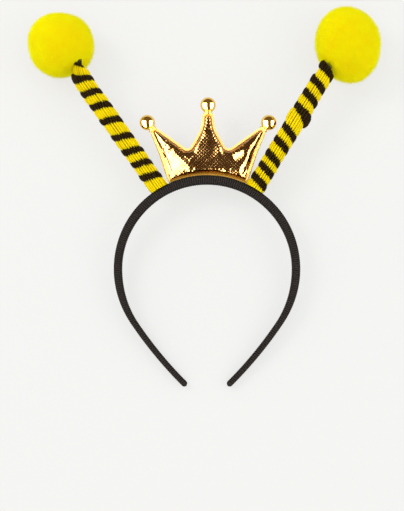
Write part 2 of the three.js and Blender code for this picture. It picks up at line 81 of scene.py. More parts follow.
def add_node(tree: bpy.types.NodeTree, kind: str, settings: dict[str, Any], **links: Any) -> bpy.types.Node:
    """Add a node to a tree, with its settings and what feeds its sockets.

    Args:
        tree: The node tree that gets the node.
        kind: Blender's name of the node type.
        settings: Node properties, or input socket names or numbers, and their values.
        links: Output sockets that feed this node, by socket name with spaces written as underscores, or by
            number written as in_0, in_1 and so on.

    Returns:
        The new node.
    """
    node = tree.nodes.new(kind)
    for key, value in settings.items():
        if isinstance(key, int) or key in node.inputs:
            node.inputs[key].default_value = value
        else:
            setattr(node, key, value)
    for key, source in links.items():
        socket = int(key[3:]) if key.startswith("in_") else key.replace("_", " ")
        tree.links.new(source, node.inputs[socket])
    return node


def add_fed(tree: bpy.types.NodeTree, kind: str, settings: dict[str, Any], terms: dict[int, Any]) -> bpy.types.Node:
    """Add a node whose numbered inputs are fed by sockets or hold plain values.

    Args:
        tree: The node tree that gets the node.
        kind: Blender's name of the node type.
        settings: Node properties.
        terms: A socket or a plain value for each input number.

    Returns:
        The new node.
    """
    sockets = {i: term for i, term in terms.items() if isinstance(term, bpy.types.NodeSocket)}
    plain = {i: term for i, term in terms.items() if i not in sockets}
    return add_node(tree, kind, {**settings, **plain}, **{f"in_{i}": term for i, term in sockets.items()})


def calculated(tree: bpy.types.NodeTree, operation: str, *terms: Any) -> bpy.types.NodeSocket:
    """Add a math node on sockets or numbers, and return its result."""
    return add_fed(tree, "ShaderNodeMath", {"operation": operation}, dict(enumerate(terms))).outputs[0]


def mixed_colour(tree: bpy.types.NodeTree, share: Any, low: Any, high: Any, blend: str = "MIX"):
    """Add a colour mix on sockets or plain values, and return its result."""
    settings = {"data_type": "RGBA", "blend_type": blend}
    return add_fed(tree, "ShaderNodeMix", settings, {0: share, 6: low, 7: high}).outputs[2]


def ranged(tree: bpy.types.NodeTree, value: Any, span: Sequence[float], ends: Sequence[float], smooth: bool = True):
    """Map a span of values to new ends, and return the result.

    Args:
        tree: The node tree.
        value: Socket with the value.
        span: The two values between which the result changes.
        ends: The result at each of them.
        smooth: Whether it eases in and out.

    Returns:
        The socket with the result.
    """
    settings = {"interpolation_type": "SMOOTHSTEP" if smooth else "LINEAR", 1: span[0], 2: span[1]}
    settings.update({3: ends[0], 4: ends[1]})
    return add_node(tree, "ShaderNodeMapRange", settings, Value=value).outputs[0]


def object_noise(tree: bpy.types.NodeTree, size_mm: float, detail: float = 3.0) -> bpy.types.Node:
    """Add noise on object coordinates.

    Args:
        tree: The material's node tree.
        size_mm: Size of one blotch.
        detail: How many finer layers it has.

    Returns:
        The noise node.
    """
    place = add_node(tree, "ShaderNodeTexCoord", {})
    settings = {"Scale": 1 / (size_mm * MM), "Detail": detail}
    return add_node(tree, "ShaderNodeTexNoise", settings, Vector=place.outputs["Object"])


def own_attribute(tree: bpy.types.NodeTree, name: str) -> bpy.types.NodeSocket:
    """Read one of the mesh's own attributes as a value."""
    return add_node(tree, "ShaderNodeAttribute", {"attribute_name": name}).outputs["Fac"]


def bump_normal(tree: bpy.types.NodeTree, height: Any, strength: float, crest_mm: float) -> bpy.types.NodeSocket:
    """Turn a height into a shading normal, for crests of so many millimetres."""
    settings = {"Strength": strength, "Distance": crest_mm * MM}
    return add_node(tree, "ShaderNodeBump", settings, Height=height).outputs["Normal"]


def two_tone(tree: bpy.types.NodeTree, fac: bpy.types.NodeSocket, low: str, high: str, span: tuple[float, float]):
    """Mix two sRGB colours by a value.

    Args:
        tree: The material's node tree.
        fac: Socket with the value.
        low: Hex colour at the low end of the span.
        high: Hex colour at the high end.
        span: The two values between which the colours change.

    Returns:
        The colour ramp node.
    """
    ramp = add_node(tree, "ShaderNodeValToRGB", {}, Fac=fac)
    for element, position, colour in zip(ramp.color_ramp.elements, span, (low, high)):
        element.position = position
        element.color = linear(colour)
    return ramp


# Finishes


class Finish:
    """What every finish does: start a named node material, and end it in one principled shader."""

    name: str

    def start(self) -> tuple[bpy.types.Material, bpy.types.NodeTree]:
        """Make an empty node material and return it with its tree."""
        material = bpy.data.materials.new(self.name)
        material.use_nodes = True
        material.node_tree.nodes.clear()
        return material, material.node_tree

    def end(self, material: bpy.types.Material, settings: dict[str, Any], **links: Any) -> bpy.types.Material:
        """Add the shader and the output, and return the finished material."""
        tree = material.node_tree
        shader = add_node(tree, "ShaderNodeBsdfPrincipled", settings, **links)
        add_node(tree, "ShaderNodeOutputMaterial", {}, Surface=shader.outputs[0])
        return material


@dataclass(frozen=True)
class RibbedRibbon(Finish):
    """Charcoal grosgrain ribbon in woven polyester: matt, with a faint sheen along each rib."""

    name: str = "grosgrain_ribbon"
    # Painted shade: the groove colour darkens the hollows between ribs and the band's rounded edges
    groove: str = "060505"
    crest: str = "342F2B"
    thread_mm: float = 0.45
    roughness: float = 0.85

    def material(self) -> bpy.types.Material:
        """Painted shade: dark grooves and paler rib crests, read from the rib attribute, with the rounded edges
        dark too where the ribs fade; with a thread grain.
        """
        material, tree = self.start()
        tone = two_tone(tree, own_attribute(tree, "rib"), self.groove, self.crest, (0.25, 1.0))
        grain = object_noise(tree, self.thread_mm, 2.0)
        mottle = mixed_colour(tree, 0.4, tone.outputs["Color"], grain.outputs["Color"], "MULTIPLY")
        normal = bump_normal(tree, grain.outputs["Fac"], 0.35, 0.1)
        settings = {
            "Roughness": self.roughness,
            "Specular IOR Level": 0.05,
            "Sheen Weight": 0.02,
            "Sheen Roughness": 0.4,
        }
        return self.end(material, settings, Base_Color=mottle, Normal=normal)


@dataclass(frozen=True)
class FoilCloth(Finish):
    """Gold foil cloth: knitted polyester under a metal film, which mirrors softly and breaks up on the knit."""

    name: str = "gold_foil_cloth"
    colour: str = "D8A868"
    shade: str = "B8844A"
    # Painted shade, laid into the fold beside each side welt
    fold_shade: str = "1A0C03"
    weave_mm: float = 1.75
    roughness: float = 0.17
    grain: float = 0.6
    weave_shade: float = 0.55
    rubbed: tuple[float, float] = (0.68, 0.96)

    def material(self) -> bpy.types.Material:
        """Two crossed waves make the knit's grain, drawn coarser than its 0.3 mm so that it shows."""
        material, tree = self.start()
        place = add_node(tree, "ShaderNodeTexCoord", {})
        waves = []
        for turn in (45, -45):
            settings = {"Rotation": (0, 0, math.radians(turn))}
            turned = add_node(tree, "ShaderNodeMapping", settings, Vector=place.outputs["Object"])
            settings = {"Scale": 1 / (self.weave_mm * MM) / math.pi, "Distortion": 0.6, "Detail": 1.0}
            wave = add_node(tree, "ShaderNodeTexWave", settings, Vector=turned.outputs["Vector"])
            waves.append(wave.outputs["Fac"])
        knit = calculated(tree, "MULTIPLY", *waves)
        blotch = object_noise(tree, 6.0, 2.0).outputs["Fac"]
        tone = two_tone(tree, blotch, self.shade, self.colour, (0.35, 0.65))
        crests = two_tone(tree, knit, "5C5C5C", "FFFFFF", (0.1, 0.6))
        # The knit stands out more in some patches, where the foil has been rubbed
        raised = calculated(tree, "MULTIPLY", knit, ranged(tree, blotch, (0.4, 0.6), self.rubbed, smooth=False))
        woven = mixed_colour(tree, self.weave_shade, tone.outputs["Color"], crests.outputs["Color"], "MULTIPLY")
        # Painted shade: the stretch beside a side welt is darkened towards the fold colour, where the fold's shade
        # falls
        shaded = mixed_colour(tree, own_attribute(tree, "fold_shade"), woven, linear(self.fold_shade))
        normal = bump_normal(tree, raised, self.grain, 0.12)
        settings = {"Metallic": 1.0, "Roughness": self.roughness}
        return self.end(material, settings, Base_Color=shaded, Normal=normal)


@dataclass(frozen=True)
class FoilPiping(Finish):
    """Gold lacquer on the foil's piped edge: its colour shows from every side, under a soft shine."""

    name: str = "gold_foil_piping"
    colour: str = "FFDC80"
    # The fold colour is painted shade, and the edge colour is painted shade on the welts' outer rims as well as the
    # tint of the shine
    fold_shade: str = "3A1E08"
    edge: str = "E0A63C"
    film: float = 0.08
    roughness: float = 0.2

    def material(self) -> bpy.types.Material:
        """Bright gold with slow dents along the cord, with painted shade: brown in the fold beside the padded face
        and along the band, deeper gold on the welts' outer rims.
        """
        material, tree = self.start()
        tone = two_tone(tree, own_attribute(tree, "fold_shade"), self.colour, self.fold_shade, (0.0, 1.0))
        tone.color_ramp.elements.new(0.5).color = linear(self.edge)
        normal = bump_normal(tree, object_noise(tree, 2.2, 2.0).outputs["Fac"], 0.25, 0.2)
        settings = {"Metallic": self.film, "Roughness": self.roughness, "Specular Tint": linear(self.edge)}
        return self.end(material, settings, Base_Color=tone.outputs["Color"], Normal=normal)


@dataclass(frozen=True)
class GoldPlatedPlastic(Finish):
    """Vacuum-plated ABS: a mirror in warm gold, with the slight ripple of a moulded bead."""

    name: str = "gold_plated_abs"
    colour: str = "F3C766"
    roughness: float = 0.06

    def material(self) -> bpy.types.Material:
        """A near-perfect mirror with a broad, faint ripple."""
        material, tree = self.start()
        normal = bump_normal(tree, object_noise(tree, 4.0, 1.0).outputs["Fac"], 0.12, 0.15)
        settings = {"Metallic": 1.0, "Roughness": self.roughness, "Base Color": linear(self.colour)}
        return self.end(material, settings, Normal=normal)


@dataclass(frozen=True)
class DyedPile(Finish):
    """Short dyed polyester fibre, as on chenille cord and pompoms: matt and soft, with painted shade in the grooves
    between a cord's tufts.
    """

    name: str
    light: str
    deep_tone_and_shade: str
    blotch_mm: float = 1.3
    sheen: float = 0.3
    subsurface: float = 0.0
    # How much the painted shade of the open grooves weighs in the tone
    groove_shade_share: float = 0.0
    span: tuple[float, float] = (0.3, 0.6)
    gloss: float = 0.1
    # A glow of its own: painted light on the fibre
    glow: float = 0.0

    def material(self) -> bpy.types.Material:
        """Mottled colour with painted shade in the grooves between tufts, and fibre sheen."""
        material, tree = self.start()
        blotch = object_noise(tree, self.blotch_mm, 3.0).outputs["Fac"]
        terms = {0: self.groove_shade_share, 2: blotch, 3: own_attribute(tree, "tuft")}
        share = add_fed(tree, "ShaderNodeMix", {"data_type": "FLOAT"}, terms)
        tone = two_tone(tree, share.outputs[0], self.deep_tone_and_shade, self.light, self.span)
        settings = {
            "Roughness": 0.9,
            "Sheen Weight": self.sheen,
            "Sheen Roughness": 0.5,
            "Sheen Tint": linear(self.light),
            "Specular IOR Level": self.gloss,
            "Subsurface Weight": self.subsurface,
            "Subsurface Radius": (0.004, 0.003, 0.0005),
            "Subsurface Scale": 0.4,
            "Emission Color": linear(self.light),
            "Emission Strength": self.glow,
        }
        return self.end(material, settings, Base_Color=tone.outputs["Color"])


@dataclass(frozen=True)
class PlainPlastic(Finish):
    """Plain matt polypropylene of the hidden stems, with a faint moulded grain, in a dark brown that is painted
    shade where a stem's end shows.
    """

    name: str = "stem_polypropylene"
    # Dark brown: painted shade for the shadowed gap where a stem's end shows
    colour: str = "2B2622"

    def material(self) -> bpy.types.Material:
        """Matt plastic with a little grain."""
        material, tree = self.start()
        normal = bump_normal(tree, object_noise(tree, 0.6).outputs["Fac"], 0.1, 0.1)
        settings = {
            "Base Color": linear(self.colour),
            "Roughness": 0.9,
            "IOR": 1.49,
            "Specular IOR Level": 0.0,
        }
        return self.end(material, settings, Normal=normal)


@dataclass(frozen=True)
class TableTop(Finish):
    """Opal acrylic light table: matt, pale and lit from below, which keeps shadows faint."""

    name: str = "opal_acrylic_table"
    colour: str = "70706F"
    light: str = "FFFFFD"
    glow: float = 0.665

    def material(self) -> bpy.types.Material:
        """Matt opal acrylic with an even glow."""
        material, _ = self.start()
        settings = {
            "Base Color": linear(self.colour),
            "Roughness": 0.95,
            "Specular IOR Level": 0.0,
            "Emission Color": linear(self.light),
            "Emission Strength": self.glow,
        }
        return self.end(material, settings)


# Places and meshes


@dataclass(frozen=True)
class DrawingPlane:
    """Turns millimetres in the band's drawing plane into the frame's metres."""

    matrix: Matrix

    @classmethod
    def from_seat(cls, record: dict[str, Any], seat_height: float) -> "DrawingPlane":
        """Find the plane from the mount in the middle of the band's inner face.

        Args:
            record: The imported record.
            seat_height: Height of that mount above the centre of the band's half circle.

        Returns:
            The plane's place in the frame.
        """
        mount = next(m for m in record["mounts"] if m["name"] == "head_seat")
        up_head = -Vector(mount["axis"]).normalized()
        right = Vector((1, 0, 0))
        towards_viewer = right.cross(up_head)
        centre = Vector(mount["pos_m"]) - up_head * seat_height * MM
        matrix = Matrix((right, up_head, towards_viewer)).transposed().to_4x4()
        matrix.translation = centre
        return cls(matrix)

    def place(self, points_mm: Array) -> Array:
        """Turn an array of points in millimetres into metres in the frame."""
        turn = np.array(self.matrix.to_3x3())
        return points_mm * MM @ turn.T + np.array(self.matrix.translation)

    def point(self, x: float, y: float, z: float) -> Vector:
        """Turn one point in millimetres into metres in the frame."""
        return self.matrix @ (Vector((x, y, z)) * MM)


def signed_volume(points: Array, faces: Sequence[Sequence[int]]) -> float:
    """Volume of a closed mesh, negative where its faces point inwards."""
    total = 0.0
    for face in faces:
        a = points[face[0]]
        for i in range(1, len(face) - 1):
            total += float(np.dot(a, np.cross(points[face[i]], points[face[i + 1]])))
    return total / 6


def mesh_object(name: str, points: Array, faces: Array | list, attributes: dict[str, Array] | None = None):
    """Make a smooth-shaded mesh object from points in metres.

    Args:
        name: Name of the object.
        points: One row for each vertex.
        faces: Vertex numbers of each face.
        attributes: Values for each vertex, by attribute name.

    Returns:
        The new object, linked to the scene.
    """
    mesh = bpy.data.meshes.new(name)
    face_list = faces.tolist() if isinstance(faces, np.ndarray) else faces
    if signed_volume(points, face_list[:: max(1, len(face_list) // 20000)]) < 0:
        face_list = [face[::-1] for face in face_list]
    mesh.from_pydata(points.tolist(), [], face_list)
    mesh.polygons.foreach_set("use_smooth", [True] * len(mesh.polygons))
    for key, values in (attributes or {}).items():
        layer = mesh.attributes.new(key, "FLOAT", "POINT")
        layer.data.foreach_set("value", np.asarray(values, dtype=np.float32))
    mesh.update()
    thing = bpy.data.objects.new(name, mesh)
    bpy.context.scene.collection.objects.link(thing)
    return thing


def loft_faces(ring_count: int, ring_size: int, loop: bool = False) -> list[list[int]]:
    """Faces that join rings of equally many points, with a cap at each end of an open body.

    Args:
        ring_count: Number of rings.
        ring_size: Points in each ring.
        loop: Whether the last ring joins the first.

    Returns:
        Quads, and two many-sided caps on an open body.
    """
    i = np.arange(ring_count if loop else ring_count - 1)[:, None]
    j = np.arange(ring_size)[None, :]
    on_j = (j + 1) % ring_size
    on_i = (i + 1) % ring_count
    corners = (i * ring_size + j, i * ring_size + on_j, on_i * ring_size + on_j, on_i * ring_size + j)
    quads = np.stack(np.broadcast_arrays(*corners), axis=-1).reshape(-1, 4).tolist()
    if not loop:
        last = (ring_count - 1) * ring_size
        quads.append(list(range(ring_size))[::-1])
        quads.append([last + k for k in range(ring_size)])
    return quads


def eased(value: Array | float, low: float, high: float) -> Array | float:
    """Share of the way from low to high, eased at both ends."""
    t = np.clip((value - low) / (high - low), 0, 1)
    return t * t * (3 - 2 * t)


def mixed(low: Any, high: Any, share: Any) -> Any:
    """Blend two values by a share from nought to one."""
    return low + (high - low) * share


def around(count: int) -> Array:
    """Even directions around a full turn, in radians."""
    return 2 * math.pi * np.arange(count) / count


def squared(wave: Array, squareness: float) -> Array:
    """Fill out a sine or cosine towards a box, as a superellipse of that order does."""
    return np.sign(wave) * np.abs(wave) ** (2 / squareness)


def direction(angle: float) -> Array:
    """The unit vector at an angle in degrees above straight right."""
    return np.array([math.cos(math.radians(angle)), math.sin(math.radians(angle))])


def closed_lengths(line: Array) -> tuple[Array, Array]:
    """A closed line with its first point added at the end, and the distance along it to each point."""
    closed = np.vstack([line, line[:1]])
    steps = np.linalg.norm(np.diff(closed, axis=0), axis=1)
    return closed, np.concatenate([[0], np.cumsum(steps)])


def declare(thing: bpy.types.Object, slot: str, *nodes: str) -> bpy.types.Object:
    """Ride a finished piece on the headband's body in place of its solids.

    Args:
        thing: The finished piece.
        slot: The record's material slot; not used.
        nodes: The solids that it stands for.

    Returns:
        The same piece.
    """
    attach(thing, BODY)
    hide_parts(*nodes)
    log.info("%s: %d faces", thing.name, len(thing.data.polygons))
    return thing


# Geometry Nodes


class GrowthTree:
    """A Geometry Nodes tree with named inputs that ends in Realize Instances and Set Material."""

    def __init__(self, name: str, inputs: dict[str, tuple[str, Any]]) -> None:
        """Start a tree.

        Args:
            name: Name of the tree.
            inputs: Socket type and default value by input name.
        """
        self.tree = bpy.data.node_groups.new(name, "GeometryNodeTree")
        interface = self.tree.interface
        interface.new_socket("Geometry", in_out="INPUT", socket_type="NodeSocketGeometry")
        for key, (socket_type, value) in inputs.items():
            socket = interface.new_socket(key, in_out="INPUT", socket_type=socket_type)
            if value is not None:
                socket.default_value = value
        interface.new_socket("Geometry", in_out="OUTPUT", socket_type="NodeSocketGeometry")
        self.start = self.tree.nodes.new("NodeGroupInput")

    def add(self, kind: str, settings: dict[Any, Any] | None = None, **links: Any) -> bpy.types.Node:
        """Add a node to this tree."""
        return add_node(self.tree, kind, settings or {}, **links)

    def value(self, name: str) -> bpy.types.NodeSocket:
        """The output socket of a named input."""
        return self.start.outputs[name]

    def read(self, name: str) -> bpy.types.NodeSocket:
        """The socket of one of the mesh's own attributes."""
        settings = {"data_type": "FLOAT", "Name": name}
        return self.add("GeometryNodeInputNamedAttribute", settings).outputs["Attribute"]

    def math(self, operation: str, *terms: Any) -> bpy.types.NodeSocket:
        """The result of a math node on sockets or numbers."""
        return calculated(self.tree, operation, *terms)

    def scaled(self, vector: bpy.types.NodeSocket, scale: bpy.types.NodeSocket) -> bpy.types.NodeSocket:
        """A vector times a number."""
        settings = {"operation": "SCALE"}
        return self.add("ShaderNodeVectorMath", settings, Vector=vector, Scale=scale).outputs["Vector"]

    def end(self, geometry: bpy.types.NodeSocket) -> None:
        """Realize the instances, set the material and feed the output."""
        real = self.add("GeometryNodeRealizeInstances", Geometry=geometry)
        smooth = self.add("GeometryNodeSetShadeSmooth", in_0=real.outputs[0])
        dressed = self.add(
            "GeometryNodeSetMaterial",
            Geometry=smooth.outputs[0],
            Material=self.value("Material"),
        )
        self.add("NodeGroupOutput", Geometry=dressed.outputs[0])

    def grow(self, thing: bpy.types.Object, values: dict[str, Any]) -> bpy.types.Object:
        """Run the tree on an object and turn the result into its plain mesh.

        Args:
            thing: The object that the tree grows on.
            values: Values by input name.

        Returns:
            The same object, with the result as its mesh and no modifier.
        """
        modifier = thing.modifiers.new(self.tree.name, "NODES")
        modifier.node_group = self.tree
        by_name = {
            item.name: item.identifier
            for item in self.tree.interface.items_tree
            if item.item_type == "SOCKET" and item.in_out == "INPUT"
        }
        for key, value in values.items():
            modifier[by_name[key]] = value
        depsgraph = bpy.context.evaluated_depsgraph_get()
        evaluated = thing.evaluated_get(depsgraph)
        grown = bpy.data.meshes.new_from_object(evaluated, preserve_all_data_layers=True, depsgraph=depsgraph)
        thing.modifiers.remove(modifier)
        old = thing.data
        thing.data = grown
        bpy.data.meshes.remove(old)
        grown.name = thing.name
        return thing


def rib_tree() -> GrowthTree:
    """Ribs across a ribbon: raises the mesh along its normals in even waves.

    Returns:
        A tree that reads the attributes "along", in millimetres, and "ribbed", from nought to one, and
        leaves each vertex's place on its rib in the attribute "rib".
    """
    growth = GrowthTree(
        "ribbon_ribs",
        {
            "Rib pitch": ("NodeSocketFloat", 1.5),
            "Rib height": ("NodeSocketFloat", 0.0002),
            "Material": ("NodeSocketMaterial", None),
        },
    )
    turns = growth.math("DIVIDE", growth.read("along"), growth.value("Rib pitch"))
    sine = growth.math("SINE", growth.math("MULTIPLY", turns, math.pi))
    crest = growth.math("MULTIPLY", growth.math("ABSOLUTE", sine), growth.read("ribbed"))
    settings = {"data_type": "FLOAT", "domain": "POINT", "Name": "rib"}
    plain = growth.value("Geometry")
    stored = growth.add("GeometryNodeStoreNamedAttribute", settings, Geometry=plain, Value=crest)
    lift = growth.math("MULTIPLY", crest, growth.value("Rib height"))
    offset = growth.scaled(growth.add("GeometryNodeInputNormal").outputs[0], lift)
    raised = growth.add("GeometryNodeSetPosition", Geometry=stored.outputs["Geometry"], Offset=offset)
    growth.end(raised.outputs["Geometry"])
    return growth


def pile_tree() -> GrowthTree:
    """Fibres that stand on a surface: slim cones at random points, leaning a little at random.

    Returns:
        A tree that reads the attribute "bare", one where nothing grows.
    """
    growth = GrowthTree(
        "fibre_pile",
        {
            "Density": ("NodeSocketFloat", 1e6),
            "Fibre length": ("NodeSocketFloat", 0.001),
            "Fibre radius": ("NodeSocketFloat", 0.0001),
            "Lean": ("NodeSocketFloat", 0.3),
            "Seed": ("NodeSocketInt", 1),
            "Material": ("NodeSocketMaterial", None),
        },
    )
    cover = growth.math("SUBTRACT", 1.0, growth.read("bare"))
    surface, seed = growth.value("Geometry"), growth.value("Seed")
    roots = growth.add(
        "GeometryNodeDistributePointsOnFaces",
        Mesh=surface,
        Density=growth.math("MULTIPLY", cover, growth.value("Density")),
        Seed=seed,
    )
    fibre = growth.add(
        "GeometryNodeMeshCone",
        {"Vertices": 3, "Side Segments": 1, "fill_type": "NONE"},
        Radius_Bottom=growth.value("Fibre radius"),
        Depth=growth.value("Fibre length"),
    )
    settings = {"data_type": "FLOAT_VECTOR", 0: (-1.0, -1.0, -1.0), 1: (1.0, 1.0, 1.0)}
    scatter = growth.add("FunctionNodeRandomValue", settings, Seed=seed)
    leaning = growth.scaled(scatter.outputs[0], growth.value("Lean"))
    settings = {"operation": "ADD"}
    heading = growth.add("ShaderNodeVectorMath", settings, in_0=roots.outputs["Normal"], in_1=leaning)
    turn = growth.add("FunctionNodeAlignRotationToVector", {"axis": "Z"}, Vector=heading.outputs["Vector"])
    size = growth.add("FunctionNodeRandomValue", {"data_type": "FLOAT", 2: 0.65, 3: 1.15}, Seed=seed)
    planted = growth.add(
        "GeometryNodeInstanceOnPoints",
        Points=roots.outputs["Points"],
        Instance=fibre.outputs["Mesh"],
        Rotation=turn.outputs["Rotation"],
        Scale=size.outputs[1],
    )
    joined = growth.add("GeometryNodeJoinGeometry")
    for source in (planted.outputs["Instances"], surface):
        growth.tree.links.new(source, joined.inputs[0])
    growth.end(joined.outputs["Geometry"])
    return growth


# The hair band


@dataclass
class HairBand:
    """The ribbed band: a half circle over the head, and two legs that run in to the tips."""

    mid_radius: float = 60.5
    side_radius: float = 66.0
    side_turn: float = 34.0
    leg_radius: float = 276.0
    leg_turn: float = 11.0
    seat_span: float = 40.0
    thick_seat: float = 6.5
    thick_side: float = 5.8
    thick_tip: float = 4.2
    depth: float = 9.0
    depth_tip: float = 6.0
    squareness: float = 4.2
    facet_turn: float = 6.0
    rib_pitch: float = 1.5
    rib_height: float = 0.22
    steps_per_rib: int = 6
    ring_size: int = 28
    tip_turns: tuple[int, ...] = (20, 40, 58, 74, 86)
    finish: RibbedRibbon = field(default_factory=RibbedRibbon)

    @property
    def outer_radius(self) -> float:
        """Radius of the band's outer face over the head."""
        return self.mid_radius + self.thick_seat / 2

    @property
    def seat_height(self) -> float:
        """Height of the flat facet in the middle of the solid's inner face."""
        inner = self.mid_radius - self.thick_seat / 2
        return inner * math.cos(math.radians(self.facet_turn / 2))

    @property
    def tip_normal(self) -> float:
        """Direction of the outward normal at the tip."""
        return -self.side_turn - self.leg_turn

    def normal_at(self, along: float) -> float:
        """Direction of the outward normal at a distance from the top, in degrees above straight right."""
        quarter, side = self.arcs
        if along <= quarter:
            return 90 - math.degrees(along / self.mid_radius)
        if along <= quarter + side:
            return -math.degrees((along - quarter) / self.side_radius)
        return -self.side_turn - math.degrees((along - quarter - side) / self.leg_radius)

    @property
    def arcs(self) -> tuple[float, float]:
        """Lengths of the quarter circle over the head and of the side arc below it."""
        return math.radians(90) * self.mid_radius, math.radians(self.side_turn) * self.side_radius

    @property
    def half_length(self) -> float:
        """Length of half the band, from its top to its tip."""
        return sum(self.arcs) + math.radians(self.leg_turn) * self.leg_radius

    def middle(self, normal: float) -> Array:
        """Middle of the band's thickness where its outward normal has a direction."""
        if normal >= 0:
            return self.mid_radius * direction(normal)
        side_centre = np.array([self.mid_radius - self.side_radius, 0.0])
        if normal >= -self.side_turn:
            return side_centre + self.side_radius * direction(normal)
        leg_centre = side_centre + (self.side_radius - self.leg_radius) * direction(-self.side_turn)
        return leg_centre + self.leg_radius * direction(normal)

    def thickness(self, normal: float) -> float:
        """Thickness in the drawing plane."""
        if normal >= 0:
            return mixed(self.thick_side, self.thick_seat, eased(normal, 0, 90 - self.seat_span))
        return mixed(self.thick_tip, self.thick_side, eased(normal, self.tip_normal, 0))

    def depth_at(self, normal: float) -> float:
        """Depth across the drawing plane."""
        return mixed(self.depth_tip, self.depth, eased(normal, self.tip_normal, -self.side_turn))

    def section(self, normal: float, side: int, shrink: float = 1.0, past: float = 0.0) -> Array:
        """One ring of points around the band.

        Args:
            normal: Direction of the outward normal.
            side: One for the right half and minus one for the left.
            shrink: Share of the full section, less on the rounded tip.
            past: How far the ring lies past the end of the band's curve.

        Returns:
            The ring's points in millimetres.
        """
        angle = math.radians(normal)
        outward = np.array([side * math.cos(angle), math.sin(angle), 0.0])
        onward = np.array([side * math.sin(angle), -math.cos(angle), 0.0])
        mid = self.middle(normal)
        centre = np.array([side * mid[0], mid[1], 0.0]) + onward * past
        half_thick = self.thickness(normal) / 2 * shrink - self.rib_height * shrink
        half_depth = self.depth_at(normal) / 2 * mixed(0.5, 1.0, shrink) - self.rib_height * shrink
        turn = around(self.ring_size)
        u = half_thick * squared(np.cos(turn), self.squareness)
        w = half_depth * squared(np.sin(turn), self.squareness)
        return centre + u[:, None] * outward + w[:, None] * np.array([0.0, 0.0, 1.0])

    def build(self, plane: DrawingPlane) -> bpy.types.Object:
        """Sweep the band and raise its ribs."""
        step = self.rib_pitch / self.steps_per_rib
        count = round(self.half_length / step)
        rings, along = [], []
        for side in (-1, 1):
            half, places = [], []
            for i in range(count + 1):
                distance = self.half_length * i / count
                half.append(self.section(self.normal_at(distance), side))
                places.append(side * distance)
            for turn in self.tip_turns:
                past = self.thick_tip / 2 * math.sin(math.radians(turn))
                half.append(self.section(self.tip_normal, side, math.cos(math.radians(turn)), past))
                places.append(side * (self.half_length + past))
            if side < 0:
                half, places = half[:0:-1], places[:0:-1]
            rings += half
            along += places
        points = plane.place(np.array(rings).reshape(-1, 3))
        turn = around(self.ring_size)
        flat = np.maximum(np.abs(np.cos(turn)), np.abs(np.sin(turn)))
        # Ribs fade on the band's rounded corners, which also paints those corners in the dark groove colour:
        # painted shade
        ribbed = np.tile(0.25 + 0.75 * eased(flat, 0.72, 0.9), len(rings))
        attributes = {"along": np.repeat(along, self.ring_size), "ribbed": ribbed}
        thing = mesh_object("ribbed_band", points, loft_faces(len(rings), self.ring_size), attributes)
        values = {
            "Rib pitch": self.rib_pitch,
            "Rib height": self.rib_height * MM,
            "Material": self.finish.material(),
        }
        rib_tree().grow(thing, values)
        return declare(thing, "band_fabric", "headband")


# The antennae


class Side(Enum):
    """The viewer's left or right."""

    LEFT = -1
    RIGHT = 1


class Cord(Enum):
    """The two chenille cords of each antenna."""

    YELLOW = "yellow"
    BLACK = "black"


